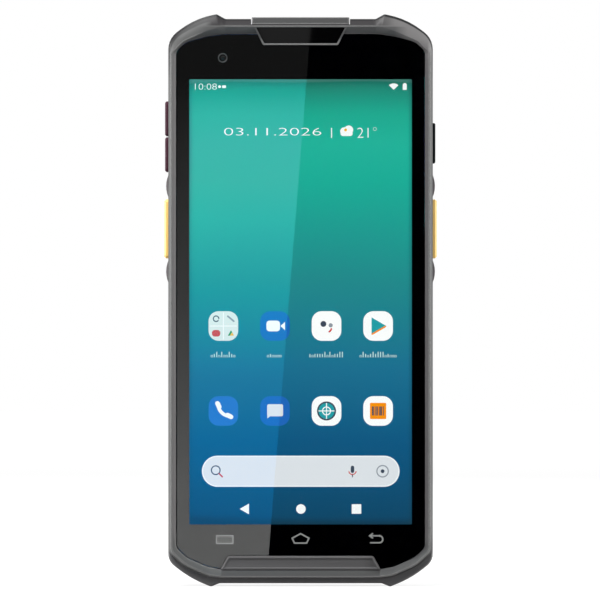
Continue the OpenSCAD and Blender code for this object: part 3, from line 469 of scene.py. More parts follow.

# tones of the front housing by place; most are painted light and shade that the lamps don't give
housingZones = [
    # painted shade on the outer part of the left shoulder, the strip beside the scan block in a darker tone
    # of its own, a painted highlight on the right shoulder
    ([("Y", -7.4, -7.2), ("Z", 146.0, 152.0), ("side", -14.0, -16.0)], (0.034, 0.034, 0.035)),
    ([("X", 27.5, 25.5), ("Z", 161.95, 162.15)], (0.033, 0.031, 0.033)),
    ([("Z", 148.0, 156.0), ("side", 21.0, 29.0)], (0.18, 0.176, 0.176)),
    # a dark line against the bumper, painted shade on the inner slope at the top
    ([("Y", -6.85, -6.72), ("Z", 146.0, 152.0)], (0.012, 0.012, 0.013)),
    ([("Y", -7.3, -7.42), ("Z", 157.5, 158.5), ("Z", 161.8, 161.6), ("X", 31.0, 27.0)],
        (0.084, 0.085, 0.086)),
    # painted light on the chin's face, a painted highlight along the foot, painted shade on the right side of
    # the chin's recess
    ([("Z", 4.4, 4.6), ("Z", 9.6, 9.3), ("X", 25.0, 24.0)], (0.113, 0.111, 0.113)),
    ([("Z", 3.2, 3.0)], (0.19, 0.187, 0.19)),
    ([("Y", -7.95, -7.5), ("Z", 16.0, 12.0), ("side", 18.0, 24.0)], (0.05, 0.049, 0.05)),
    # painted shade on the slope right of the glass and painted light on the slope left of it
    ([("Z", 12.0, 16.0), ("Z", 158.0, 152.0), ("side", 34.0, 35.0), ("side", 37.0, 36.6)],
        (0.08, 0.074, 0.077)),
    ([("Z", 12.0, 16.0), ("Z", 158.0, 152.0), ("side", -34.0, -35.0), ("side", -37.2, -37.0)],
        (0.155, 0.15, 0.15)),
]
bumperZones = [
    # the guards beside the triggers in a lighter tone of their own, painted shade on the upper corners,
    # painted light on the lower lugs
    ([("X", 38.15, 38.35)], (0.2, 0.185, 0.19)),
    ([("X", 38.2, 38.0), ("Z", 150.0, 156.0)], (0.03, 0.03, 0.031)),
    ([("Y", -5.0, -6.0), ("Z", 18.0, 13.0)], (0.118, 0.116, 0.118)),
]
finishes = {
    # the light edge tone of the grey housing is a painted highlight along its edges and ridges
    "greyHousing": {"colour": (0.105, 0.107, 0.106), "rough": 0.42, "gloss": 0.2, "bump": 0.16, "dust": 0.12,
        "wearAndHighlight": 0.9, "wearAndHighlightColour": (0.3, 0.3, 0.295), "wearAndHighlightRadius": 0.0006, "wearAndHighlightStart": 0.2,
        "zones": housingZones},
    "darkBumper": {"colour": (0.075, 0.075, 0.077), "rough": 0.62, "gloss": 0.3, "bump": 0.2, "dust": 0.2,
        "wearAndHighlight": 0.3, "wearAndHighlightColour": (0.15, 0.15, 0.15), "grain": 3400.0, "zones": bumperZones},
    "charcoalBack": {"colour": (0.03, 0.03, 0.032), "rough": 0.56, "bump": 0.3, "dust": 0.2,
        "wearAndHighlight": 0.4, "wearAndHighlightColour": (0.1, 0.1, 0.1), "grain": 1900.0},
    # the light edge tone of the scan block is a painted highlight along its edges
    "scanBlock": {"colour": (0.1, 0.1, 0.1), "rough": 0.42, "gloss": 0.2, "dust": 0.1,
        "wearAndHighlight": 1.0, "wearAndHighlightColour": (0.42, 0.42, 0.42), "wearAndHighlightRadius": 0.0005, "wearAndHighlightStart": 0.15},
    "blackKey": {"colour": (0.004, 0.006, 0.007), "rough": 0.75, "gloss": 0.02, "dust": 0.05,
        "wearAndHighlight": 0.1, "wearAndHighlightColour": (0.06, 0.06, 0.065)},
    "wineKey": {"colour": (0.05, 0.012, 0.024), "rough": 0.6, "gloss": 0.15, "dust": 0.05,
        "wearAndHighlight": 0.5, "wearAndHighlightColour": (0.16, 0.1, 0.13)},
    "lensHolder": {"colour": (0.0012, 0.0012, 0.0014), "rough": 0.6, "gloss": 0.1},
    "yellowPad": {"colour": (1.0, 0.66, 0.19), "rough": 0.48, "cloud": 0.04, "dust": 0.03,
        "wearAndHighlight": 0.35, "wearAndHighlightColour": (1.0, 0.85, 0.5)},
    "blackPlastic": {"colour": (0.012, 0.012, 0.013), "rough": 0.5, "dust": 0.1},
    "packShell": {"colour": (0.02, 0.02, 0.022), "rough": 0.45, "dust": 0.1,
        "wearAndHighlight": 0.3, "wearAndHighlightColour": (0.08, 0.08, 0.08)},
    "sealRubber": {"colour": (0.012, 0.012, 0.012), "rough": 0.75, "gloss": 0.2, "dust": 0.3},
    "amberLatch": {"colour": (0.62, 0.33, 0.05), "rough": 0.45, "dust": 0.1,
        "wearAndHighlight": 0.4, "wearAndHighlightColour": (0.85, 0.6, 0.25)},
    "greenBoard": {"colour": (0.01, 0.085, 0.035), "rough": 0.32, "cloud": 0.25, "grain": 700.0},
    "amberFlex": {"colour": (0.45, 0.2, 0.03), "rough": 0.3, "cloud": 0.12, "grain": 900.0},
    "foamTape": {"colour": (0.01, 0.01, 0.01), "rough": 0.8, "gloss": 0.15, "grain": 1500.0},
    "glossInlay": {"colour": (0.0012, 0.0012, 0.0013), "rough": 0.06, "spread": 0.04, "cloud": 0.1,
        "bump": 0.004, "gloss": 0.5},
}
metalFinishes = {
    "castAlloy": {"colour": (0.6, 0.61, 0.62), "rough": 0.5, "streaks": (900.0, 900.0, 900.0)},
    "tinPlate": {"colour": (0.7, 0.7, 0.71), "rough": 0.32},
    "blackScrew": {"colour": (0.16, 0.16, 0.165), "rough": 0.36, "streaks": (1400.0, 1400.0, 1400.0)},
    "grilleSteel": {"colour": (0.2, 0.2, 0.2), "rough": 0.45},
}
plastics = {name: mouldedPlastic(name, p) for name, p in finishes.items()}
metals = {name: brushedMetal(name, p) for name, p in metalFinishes.items()}
print("materials ready:", len(plastics) + len(metals))


# helpers for pieces
record = frame["record"]
bodyOf = {node: body for body, members in record["behaviour"]["bodies"].items() for node in members}
slotOf = {row["node"]: row["material_slot"] for row in record["subparts"]}
cleanSetup = {"merge": 2e-6, "flat": 0.4}       # distance in metres, angle in degrees

def meshFrom(work, name):
    mesh = bpy.data.meshes.new(name)
    work.to_mesh(mesh)
    work.free()
    return mesh

def cleanCopy(node, name):
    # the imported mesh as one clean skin: doubles merged and flat triangles joined
    work = bmesh.new()
    work.from_mesh(frame["nodes"][node].data)
    bmesh.ops.remove_doubles(work, verts=work.verts, dist=cleanSetup["merge"])
    bmesh.ops.dissolve_limit(work, angle_limit=math.radians(cleanSetup["flat"]), verts=work.verts,
        edges=work.edges)
    return meshFrom(work, name)

def placePiece(name, mesh, body, slot, *nodes):
    piece = newObject(name, mesh)
    if nodes:
        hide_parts(*nodes)
    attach(piece, body)
    return piece

def smoothBy(mesh, angle):
    for face in mesh.polygons:
        face.use_smooth = True
    mesh.set_sharp_from_angle(angle=math.radians(angle))

# the faceted slope round the upper corners becomes one smooth, slightly crowned surface
shoulderSetup = {
    "outerY": -6.4, "innerY": -7.94, "near": 0.03,     # the two rings it lies between, mm
    "lowZ": 150.0, "innerX": 15.0,                     # where it starts and ends
    "spacing": 0.45, "rows": 6, "crown": 0.2, "fade": 4.0,
    "average": 4,                                      # neighbours on each side that even out its direction
}

def matchedPairs(outer, inner):
    # steps along both lines at once, so that the cross lines stay as short as they can
    cost = {}
    for i, a in enumerate(outer):
        for j, b in enumerate(inner):
            before = [cost[k][0] for k in ((i - 1, j), (i, j - 1), (i - 1, j - 1)) if k in cost]
            cost[i, j] = ((a.co - b.co).length_squared + (min(before) if before else 0), i, j)
    pairs, i, j = [], len(outer) - 1, len(inner) - 1
    while True:
        pairs.append((i, j))
        steps = [cost[k] for k in ((i - 1, j - 1), (i - 1, j), (i, j - 1)) if k in cost]
        if not steps:
            return pairs[::-1]
        total, i, j = min(steps)

def splitChain(edges, start, parts):
    # walks a chain of edges, cuts each one into parts(edge) equal lengths, and gives its vertices
    chain, left = [start], set(edges)
    while left:
        edge = next(e for e in chain[-1].link_edges if e in left)
        left.remove(edge)
        end = edge.other_vert(chain[-1])
        for i in range(parts(edge), 1, -1):
            chain.append(bmesh.utils.edge_split(edge, chain[-1], 1 / i)[1])
        chain.append(end)
    return chain

def crownedStrip(work, outer, inner, first, last, p):
    # quads between two lines, raised a little along their middle; first and last are its end columns
    pairs = matchedPairs(outer, inner)
    middles = [(outer[i].co + inner[j].co) / 2 for i, j in pairs]
    normals = []
    for k, (i, j) in enumerate(pairs):
        along = middles[min(k + 1, len(pairs) - 1)] - middles[max(k - 1, 0)]
        out = along.cross(inner[j].co - outer[i].co).normalized()
        normals.append(out if out.y < 0 else -out)
    reach = [0.0]
    for a, b in zip(middles, middles[1:]):
        reach.append(reach[-1] + (b - a).length / mm)
    columns = [first]
    for k, (i, j) in list(enumerate(pairs))[1:-1]:
        out = sum(normals[max(0, k - p["average"]):k + p["average"] + 1], Vector()).normalized()
        share = min(1.0, min(reach[k], reach[-1] - reach[k]) / p["fade"])
        rise = p["crown"] * mm * share * share * (3 - 2 * share)
        column = [outer[i]]
        for row in range(1, p["rows"]):
            t = row / p["rows"]
            column.append(work.verts.new(outer[i].co.lerp(inner[j].co, t) + out * rise * 4 * t * (1 - t)))
        columns.append(column + [inner[j]])
    columns.append(last)
    for a, b in zip(columns, columns[1:]):
        for row in range(p["rows"]):
            work.faces.new(list(dict.fromkeys((a[row], b[row], b[row + 1], a[row + 1]))))

def softShoulders(mesh, p):
    work = bmesh.new()
    work.from_mesh(mesh)
    def ringOf(v):
        for ring, level in enumerate((p["outerY"], p["innerY"])):
            if abs(v.co.y / mm - level) < p["near"]:
                return ring
    def finely(edge):
        return math.ceil(edge.calc_length() / (p["spacing"] * mm))
    for side in (-1, 1):
        strip = [f for f in work.faces if {ringOf(v) for v in f.verts} == {0, 1} and
            all(v.co.z > p["lowZ"] * mm and side * v.co.x > p["innerX"] * mm for v in f.verts)]
        inside = set(strip)
        border = {e for f in strip for e in f.edges if sum(g in inside for g in e.link_faces) == 1}
        rings = [{e for e in border if {ringOf(v) for v in e.verts} == {ring}} for ring in (0, 1)]
        ends = sorted(border - rings[0] - rings[1], key=lambda e: e.verts[0].co.x)
        bmesh.ops.delete(work, geom=strip, context="FACES_KEEP_BOUNDARY")
        corners = [sorted(e.verts, key=ringOf) for e in ends]
        outer = splitChain(rings[0], corners[0][0], finely)
        inner = splitChain(rings[1], corners[0][1], finely)
        first, last = (splitChain([e], pair[0], lambda edge: p["rows"]) for e, pair in zip(ends, corners))
        crownedStrip(work, outer, inner, first, last, p)
    bmesh.ops.recalc_face_normals(work, faces=work.faces)
    work.to_mesh(mesh)
    work.free()

def dress(node, name, finish, edge, angle):
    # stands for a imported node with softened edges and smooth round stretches
    mesh = cleanCopy(node, name)
    if node == "front_housing":
        softShoulders(mesh, shoulderSetup)
    mesh.materials.append(plastics[finish])
    smoothBy(mesh, angle)
    bevel = placePiece(name, mesh, bodyOf[node], slotOf[node], node).modifiers.new("softEdge", "BEVEL")
    bevel.width = edge * mm
    bevel.segments = 2
    bevel.limit_method = "ANGLE"
    bevel.angle_limit = math.radians(angle)
    bevel.use_clamp_overlap = True
    bevel.harden_normals = True

def paint(node, material):
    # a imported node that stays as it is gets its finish
    target = frame["nodes"][node].data
    target.materials.clear()
    target.materials.append(material)


# housings, keys and door
shellWork = [
    # node, piece, finish, edge in mm, smoothing angle
    ("front_housing", "frontShell", "greyHousing", 0.09, 30.0),
    ("bumper_frame", "bumperBand", "darkBumper", 0.12, 30.0),
    ("rear_housing", "backShell", "charcoalBack", 0.12, 30.0),
    ("scan_bezel", "scanBlockShell", "scanBlock", 0.18, 30.0),
    ("volume_up_key", "volumeUpCap", "wineKey", 0.12, 35.0),
    ("volume_down_key", "volumeDownCap", "wineKey", 0.12, 35.0),
    ("power_key", "powerCap", "blackKey", 0.12, 35.0),
    ("left_trigger", "leftTriggerPad", "yellowPad", 0.15, 35.0),
    ("right_trigger", "rightTriggerPad", "yellowPad", 0.15, 35.0),
    ("battery_cover", "batteryDoor", "charcoalBack", 0.12, 30.0),
    ("cover_latch_left", "latchSliderLeft", "amberLatch", 0.08, 35.0),
    ("cover_latch_right", "latchSliderRight", "amberLatch", 0.08, 35.0),
    ("battery_pack", "packShell", "packShell", 0.15, 35.0),
]
for row in shellWork:
    dress(*row)
print("shells ready:", len(shellWork))

innerWork = [
    (plastics, {"foamTape": ["glass_tape"], "sealRubber": ["cover_seal"],
        "greenBoard": ["main_board", "sub_board"], "lensHolder": ["front_camera"],
        "amberFlex": ["board_flex", "side_flex_left", "side_flex_right"],
        "blackPlastic": ["rear_camera", "loudspeaker", "battery_connector"], "glossInlay": ["tab_inlay"]}),
    (metals, {"castAlloy": ["mid_frame", "scan_engine"], "grilleSteel": ["receiver"],
        "tinPlate": ["board_shields", "usb_port", "side_switches", "microphone", "vibration_motor"]}),
]
for shelf, work in innerWork:
    for finish, nodes in work.items():
        for node in nodes:
            paint(node, shelf[finish])
print("inner pieces painted")


# glass, print and display
glassSetup = {"colour": (0.98, 1.0, 0.99), "backLift": 0.06, "rough": 0.015, "ior": 1.5}

def glassMaterial(name, p):
    material, tree = startMaterial(name)
    haze = remap(tree, noiseNode(tree, 45.0, 3.0), toLow=p["rough"] * 0.4, toHigh=p["rough"])
    endMaterial(tree, {"Base Color": p["colour"], "IOR": p["ior"], "Transmission Weight": 1.0,
        "Roughness": haze})
    return material

def printMaterial(name, colour, rough):
    # screen-printed ink: a dead even tone with faint dots
    material, tree = startMaterial(name)
    lighter = tuple(c * 1.25 + 0.0002 for c in colour)
    endMaterial(tree, {"Base Color": mixColour(tree, noiseNode(tree, 5200.0, 1.0), colour, lighter),
        "Roughness": rough, "Specular IOR Level": 0.0})
    return material

def makeGlass(p):
    mesh = cleanCopy("cover_glass", "screenGlass")
    mesh.materials.append(glassMaterial("clearGlass", p))
    mesh.materials.append(printMaterial("edgeInk", (0.0006, 0.0006, 0.0006), 0.7))
    for face in mesh.polygons:
        if abs(face.normal.y) < 0.5:
            face.material_index = 1     # the rim is inked, so no light leaks out at the bezel
    back = max(v.co.y for v in mesh.vertices)
    for v in mesh.vertices:
        if v.co.y > back - 0.01 * mm:
            v.co.y -= p["backLift"] * mm     # stays clear of the print behind it
    smoothBy(mesh, 30)
    placePiece("screenGlass", mesh, handset, "glass", "cover_glass")

makeGlass(glassSetup)
paint("border_print", printMaterial("blackPrint", (0.0004, 0.0004, 0.0005), 0.6))
paint("camera_ring", printMaterial("ringPrint", (0.14, 0.14, 0.142), 0.5))

def linear(red, green, blue, gain=1.0):
    # a display colour given as 0..255 numbers
    def one(v):
        v = v / 255
        return gain * (v / 12.92 if v <= 0.04045 else ((v + 0.055) / 1.055) ** 2.4)
    return (one(red), one(green), one(blue))

def litMaterial(tree, light, rough=0.5, strength=1.0):
    # what the screen shows gives its own light and no gloss
    endMaterial(tree, {"Emission Color": light, "Emission Strength": strength, "Roughness": rough,
        "Base Color": (0.01, 0.01, 0.01), "Specular IOR Level": 0.0})

displaySetup = {
    # height over the foot in mm, and the colour shown there
    "tones": [(17.9, (14, 54, 76)), (20.0, (10, 70, 104)), (42.0, (8, 85, 128)), (64.0, (24, 110, 143)),
        (88.0, (30, 135, 138)), (116.0, (22, 170, 150)), (128.0, (30, 176, 153)), (136.5, (26, 167, 143)),
        (141.0, (26, 149, 129)), (144.0, (28, 134, 116)), (146.0, (23, 109, 94)), (146.5, (60, 118, 107))],
    "gain": 1.09,
    "wave": 10.0,                                     # slow waves bend the bands by this much, mm
    "edge": 1.2, "edgeFade": 1.3,                     # the light falls off at the sides, mm
    "edgeShare": 0.45, "edgeTone": (20, 60, 70),
}

def displayMaterial(p):
    material, tree = startMaterial("displayLight")
    place = splitPlace(tree)
    low, high = p["tones"][0][0], p["tones"][-1][0]
    wave = minus(tree, noiseNode(tree, 14.0, 1.0), 0.5)
    bent = plus(tree, place["Z"], times(tree, wave, p["wave"] * mm))
    tones = rampNode(tree, remap(tree, bent, low * mm, high * mm),
        [((h - low) / (high - low), linear(*tone, p["gain"])) for h, tone in p["tones"]])
    half = (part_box("display_panel")[1].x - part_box("display_panel")[0].x) / 2 - p["edge"] * mm
    edge = remap(tree, calc(tree, "ABSOLUTE", place["X"]), half - p["edgeFade"] * mm, half,
        toHigh=p["edgeShare"])
    litMaterial(tree, mixColour(tree, edge, tones, linear(*p["edgeTone"])))
    return material

paint("display_panel", displayMaterial(displaySetup))
print("screen ready")


# Geometry Nodes helpers
def startTree(name, inputs):
    # a node tree with a geometry input and output, and its named inputs
    return newGroup("GeometryNodeTree", name, {"Geometry": "Geometry", **inputs}, {"Geometry": "Geometry"})

def endTree(tree, made, geometry, material):
    # real faces in their own finish
    real = addNode(tree, "GeometryNodeRealizeInstances", {"Geometry": geometry})
    setInputs(tree, made, {0: addNode(tree, "GeometryNodeSetMaterial", {"Geometry": real,
        "Material": material})})

def vectorNode(tree, **axes):
    return addNode(tree, "ShaderNodeCombineXYZ", axes)

def turned(tree, **axes):
    return addNode(tree, "FunctionNodeEulerToRotation", {0: vectorNode(tree, **axes)})

def putOnPoints(tree, points, shape, **settings):
    return addNode(tree, "GeometryNodeInstanceOnPoints", {"Points": points, "Instance": shape,
        **{key.replace("_", " "): value for key, value in settings.items()}})

def plainMesh(item):
    # the item as it is after its modifiers; the item itself goes
    mesh = bpy.data.meshes.new_from_object(item.evaluated_get(bpy.context.evaluated_depsgraph_get()))
    bpy.data.objects.remove(item)
    return mesh

def growMesh(name, tree, values, points=((0, 0, 0),)):
    # runs the tree on a few points and keeps the result as a plain mesh
    seedMesh = bpy.data.meshes.new(name + "Seed")
    seedMesh.from_pydata(points, [], [])
    seed = newObject(name + "Seed", seedMesh)
    modifier = seed.modifiers.new("grow", "NODES")
    modifier.node_group = tree
    for item in tree.interface.items_tree:
        if item.in_out == "INPUT" and item.name in values:
            modifier[item.identifier] = values[item.name]
    mesh = plainMesh(seed)
    mesh.name = name
    return mesh

def moved(x, y, z):
    return Matrix.Translation((x * mm, y * mm, z * mm))


# screws
screwSetup = {
    # axes of the six screws: x and height in mm, the same on both sides
    "axes": [(31.5, 11.93), (31.5, 152.03), (28.5, 115.93)],
    # from the floor of the socket over the head: radius share, or what is added to it, and depth
    "socketRadius": 0.85, "socketDepth": 0.8, "headFace": 7.6,
    "socket": [(0.1, 0.02), (0.16, 0.0)], "socketLip": 0.12, "socketFloor": 0.97,
    "headRadius": 1.7, "head": [(0.72, 0.01), (0.9, 0.07), (0.98, 0.2), (1.0, 0.34)], "headBack": 6.4,
    "shankRadius": 0.9, "neck": 2.0, "shankEnd": -3.1, "threadPitch": 0.5, "threadDepth": 0.17,
    "threadStop": 0.4, "tip": [(0.9, 0.5), (0.6, 0.0)],
    "sides": 36, "turn": 6.28, "seed": 7,
}

def stackRings(name, rings):
    # a closed skin through rings of the same number of points
    work = bmesh.new()
    rows = [[work.verts.new(p) for p in ring] for ring in rings]
    count = len(rows[0])
    for low, high in zip(rows, rows[1:]):
        for i in range(count):
            j = (i + 1) % count
            work.faces.new((low[i], low[j], high[j], high[i]))
    work.faces.new(list(reversed(rows[0])))
    work.faces.new(rows[-1])
    bmesh.ops.recalc_face_normals(work, faces=work.faces)
    return meshFrom(work, name)

def screwMesh(p):
    # lathed about y, from the floor of the socket over the head to the tip
    sixth = math.pi / 3
    def ring(radius, y, six=False):
        points = []
        for i in range(p["sides"]):
            a = 2 * math.pi * i / p["sides"]
            r = radius * math.cos(sixth / 2) / math.cos(a % sixth - sixth / 2) if six else radius
            points.append((r * math.cos(a) * mm, y * mm, r * math.sin(a) * mm))
        return points
    face, s, shank, pitch = p["headFace"], p["socketRadius"], p["shankRadius"], p["threadPitch"]
    rings = [ring(s * p["socketFloor"], face - p["socketDepth"], True), ring(s, face - p["socketLip"], True)]
    rings += [ring(s + more, face - deep) for more, deep in p["socket"]]
    rings += [ring(p["headRadius"] * share, face - deep) for share, deep in p["head"]]
    rings += [ring(p["headRadius"], p["headBack"]), ring(shank, p["headBack"])]
    y = p["headBack"] - p["neck"]
    while y > p["shankEnd"] + pitch + p["threadStop"]:
        rings += [ring(shank, y), ring(shank - p["threadDepth"], y - pitch / 2)]
        y -= pitch
    rings += [ring(shank * share, p["shankEnd"] + up) for share, up in p["tip"]]
    return stackRings("screwShape", rings)

def makeScrews(p):
    tree, given, made = startTree("placeScrews", {"Screw": "Object", "Turn": 1.0, "Seed": 1})
    info = addNode(tree, "GeometryNodeObjectInfo", {"Object": given["Screw"]})
    turn = addNode(tree, "FunctionNodeRandomValue", {"Seed": given["Seed"]}, data_type="FLOAT")
    tree.links.new(given["Turn"], next(s for s in turn.inputs if s.name == "Max" and s.type == "VALUE"))
    put = putOnPoints(tree, given["Geometry"], info.outputs["Geometry"],
        Rotation=turned(tree, Y=turn.outputs[1]))
    endTree(tree, made, put, metals["blackScrew"])
    shape = newObject("screwShape", screwMesh(p))
    points = [(side * x * mm, 0, z * mm) for x, z in p["axes"] for side in (-1, 1)]
    mesh = growMesh("socketScrews", tree, {"Screw": shape, "Turn": p["turn"], "Seed": p["seed"]}, points)
    bpy.data.objects.remove(shape)
    smoothBy(mesh, 35)
    placePiece("socketScrews", mesh, handset, slotOf["housing_screws"], "housing_screws")

makeScrews(screwSetup)
print("screws ready")


# woven wire behind the speaker slots
weaveSetup = {"pitch": 0.5, "wire": 0.085, "swing": 0.06, "steps": 6, "sides": 5,
    # each set of wires: shorter than the mesh, narrower than it, and its start, mm
    "long": (0.3, 0.2, 0.15, 0.3), "short": (0.3, 0.2, 0.35, 0.15)}

def makeWeave(p):
    low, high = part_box("speaker_mesh")
    wide, tall = (high.x - low.x) / mm, (high.z - low.z) / mm
    tree, given, made = startTree("weaveWires", {"Length": 1.0, "Steps": 10, "Pitch": 1.0, "Swing": 1.0,
        "Wire": 1.0, "Sides": 5, "Count": 3})
    # one waved wire along x, its waves in y
    line = addNode(tree, "GeometryNodeCurvePrimitiveLine", {"End": vectorNode(tree, X=given["Length"])})
    fine = addNode(tree, "GeometryNodeResampleCurve", {"Curve": line, "Count": given["Steps"]})
    place = splitPlace(tree, addNode(tree, "GeometryNodeInputPosition"))
    phase = calc(tree, "DIVIDE", place["X"], given["Pitch"])
    wave = calc(tree, "SINE", times(tree, phase, math.pi))
    lift = vectorNode(tree, Y=times(tree, wave, given["Swing"]))
    bent = addNode(tree, "GeometryNodeSetPosition", {"Geometry": fine, "Offset": lift})
    profile = addNode(tree, "GeometryNodeCurvePrimitiveCircle", {"Resolution": given["Sides"],
        "Radius": given["Wire"]})
    wire = addNode(tree, "GeometryNodeCurveToMesh", {"Curve": bent, "Profile Curve": profile,
        "Fill Caps": True})
    # the next wire lies half a turn round, so over and under change places
    row = addNode(tree, "GeometryNodeMeshLine", {"Count": given["Count"],
        "Offset": vectorNode(tree, Z=given["Pitch"])})
    odd = calc(tree, "MODULO", addNode(tree, "GeometryNodeInputIndex"), 2.0)
    put = putOnPoints(tree, row, wire, Rotation=turned(tree, X=times(tree, odd, math.pi)))
    endTree(tree, made, put, metals["grilleSteel"])
    def wires(name, length, across):
        return growMesh(name, tree, {"Length": length * mm, "Pitch": p["pitch"] * mm,
            "Steps": int(length / p["pitch"] * p["steps"]), "Swing": p["swing"] * mm,
            "Wire": p["wire"] * mm, "Sides": p["sides"], "Count": int(across / p["pitch"])})
    start = Matrix.Translation((low.x, (low.y + high.y) / 2, low.z))
    shorter, narrower, x, z = p["long"]
    long = wires("longWires", wide - shorter, tall - narrower)
    long.transform(start @ moved(x, 0, z))
    shorter, narrower, x, z = p["short"]
    short = wires("shortWires", tall - shorter, wide - narrower)
    short.transform(start @ moved(x, 0, z) @ Matrix.Rotation(-math.pi / 2, 4, "Y") @
        Matrix.Scale(-1, 4, (0, 0, 1)))
    work = bmesh.new()
    work.from_mesh(long)
    work.from_mesh(short)
    bmesh.ops.recalc_face_normals(work, faces=work.faces)
    mesh = meshFrom(work, "speakerWeave")
    mesh.materials.append(metals["grilleSteel"])
    smoothBy(mesh, 60)
    placePiece("speakerWeave", mesh, handset, slotOf["speaker_mesh"], "speaker_mesh")

makeWeave(weaveSetup)
print("speaker weave ready")


# lenses, lamp and scan window
def tintedWindow(name, colour, rough, clear):
    # moulded filter: dyed clear plastic with faint flow marks
    material, tree = startMaterial(name)
    flow = noiseNode(tree, 90.0, 2.0)
    endMaterial(tree, {"Base Color": mixColour(tree, flow, tuple(c * 0.8 for c in colour), colour),
        "Roughness": remap(tree, flow, toLow=rough * 0.5, toHigh=rough),
        "IOR": 1.49, "Transmission Weight": clear})
    return material

def ringedLens(name, p):
    # rings of colour round an axis along y; stops run from the axis out to its radius
    material, tree = startMaterial(name)
    place = splitPlace(tree, addNode(tree, "ShaderNodeMapping", {"Vector": objectPlace(tree),
        "Location": (-p["x"] * mm, 0, -p["z"] * mm)}))
    squares = [times(tree, place[axis], place[axis]) for axis in "XZ"]
    radius = calc(tree, "SQRT", plus(tree, *squares))
    share = calc(tree, "DIVIDE", radius, p["radius"] * mm)
    inputs = {"Base Color": rampNode(tree, share, p["stops"]), "Roughness": p["rough"],
        "Coat Weight": p["coat"], "Coat Roughness": 0.03}
    if "ripple" in p:
        rings = calc(tree, "SINE", times(tree, share, p["ripple"]))
        inputs["Normal"] = bumpNode(tree, rings, 0.5, 0.00008)
    endMaterial(tree, inputs)
    return material

flashSetup = {"x": -20.0, "z": 129.43, "radius": 2.0, "rough": 0.15, "coat": 0.8, "ripple": 55.0,
    "stops": [(0.0, (0.9, 0.62, 0.08)), (0.42, (0.92, 0.7, 0.16)), (0.5, (0.85, 0.85, 0.8)),
        (0.85, (0.9, 0.9, 0.88)), (1.0, (0.6, 0.6, 0.6))]}
paint("scan_window", tintedWindow("smokedRed", (0.42, 0.02, 0.025), 0.05, 0.85))
paint("camera_window", tintedWindow("lensCover", (0.8, 0.84, 0.86), 0.02, 1.0))
paint("flash_led", ringedLens("lampLens", flashSetup))

domeStops = [(0.0, (0.001, 0.001, 0.002)), (0.35, (0.002, 0.0015, 0.006)), (0.6, (0.006, 0.002, 0.014)),
    (0.85, (0.001, 0.004, 0.007)), (1.0, (0.001, 0.001, 0.001))]
lensSetup = {
    # y of the rim in mm, and by how much the dome rises from it
    "rearLensDome": {"x": -20.0, "z": 140.43, "rim": 5.55, "radius": 2.2, "rise": 0.5, "coat": 0.8},
    "frontLensDome": {"x": -22.5, "z": 152.73, "rim": -5.75, "radius": 0.75, "rise": -0.2, "coat": 0.05},
}
domeShape = {"rows": 8, "sides": 40, "open": 0.97}

def makeLens(name, p):
    rings = []
    for i in range(domeShape["rows"] + 1):
        turn = i / domeShape["rows"] * math.pi / 2 * domeShape["open"]
        r, y = p["radius"] * math.cos(turn), p["rim"] + p["rise"] * math.sin(turn)
        angles = [2 * math.pi * k / domeShape["sides"] for k in range(domeShape["sides"])]
        rings.append([((p["x"] + r * math.cos(a)) * mm, y * mm, (p["z"] + r * math.sin(a)) * mm)
            for a in angles])
    mesh = stackRings(name, rings)
    mesh.materials.append(ringedLens(name + "Coat", {**p, "rough": 0.04, "stops": domeStops}))
    smoothBy(mesh, 50)
    placePiece(name, mesh, handset, "lens")

for name, p in lensSetup.items():
    makeLens(name, p)
print("lenses and windows ready")


# what the screen shows
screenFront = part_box("display_panel")[0].y / mm     # front of the display, mm
layerStep = 0.02                                    # each layer lies this much further out
lightGain = 1.08                                    # the glass takes some of the light

def circle(x, z, r, steps=36):
    return [arcPoints(x, z, r, 0, 360, steps)[:-1]]

def arcPoints(x, z, r, start, end, steps=18):
    # from start to end in degrees, with 0 at the right and 90 at the top
    angles = [math.radians(start + (end - start) * i / steps) for i in range(steps + 1)]
    return [(x + r * math.cos(a), z + r * math.sin(a)) for a in angles]

def roundedBox(x, z, wide, tall, r, steps=10):
    points = []
    for cornerX, cornerZ, start in ((1, -1, -90), (1, 1, 0), (-1, 1, 90), (-1, -1, 180)):
        points += arcPoints(x + cornerX * (wide / 2 - r), z + cornerZ * (tall / 2 - r), r, start, start + 90,
            steps)
    return [points]

def stroke(points, width, closed=False):
    # a band of even width along a line, mitred at its corners; an open one has round ends
    line = [Vector(p) for p in points]
    count, left, right = len(line), [], []
    for i, p in enumerate(line):
        before = line[i - 1] if i or closed else None
        after = line[(i + 1) % count] if i < count - 1 or closed else None
        ways = [(b - a).normalized() for a, b in ((before, p), (p, after)) if a is not None and b is not None]
        way = sum(ways, Vector((0, 0))).normalized()
        side = Vector((-way.y, way.x))
        reach = width / 2 / max(0.5, side.dot(Vector((-ways[0].y, ways[0].x))))
        left.append(tuple(p + side * reach))
        right.append(tuple(p - side * reach))
    shapes = [[right[i], right[(i + 1) % count], left[(i + 1) % count], left[i]]
        for i in range(count if closed else count - 1)]
    if not closed:
        for p in (line[0], line[-1]):
            shapes += circle(p.x, p.y, width / 2, 12)
    return shapes

def loop(x, z, r, width):
    return stroke(arcPoints(x, z, r, 0, 348, 30), width, True)

def bar(x, z, wide, tall):
    # a plain box round its middle
    return [[(x - wide / 2, z - tall / 2), (x + wide / 2, z - tall / 2), (x + wide / 2, z + tall / 2),
        (x - wide / 2, z + tall / 2)]]

def inkMaterial(name, colour, second, grain=0.04):
    # light of the screen: one tone that drifts softly to another, on a fine pixel grid
    material, tree = startMaterial(name)
    toned = mixColour(tree, noiseNode(tree, 160.0, 1.0), linear(*colour, lightGain),
        linear(*second, lightGain))
    cells = addNode(tree, "ShaderNodeTexVoronoi", {"Vector": objectPlace(tree), "Scale": 9000.0})
    dim = times(tree, cells.outputs["Distance"], -grain)
    litMaterial(tree, scaled(tree, toned, plus(tree, dim, 1.0)), 0.6)
    return material

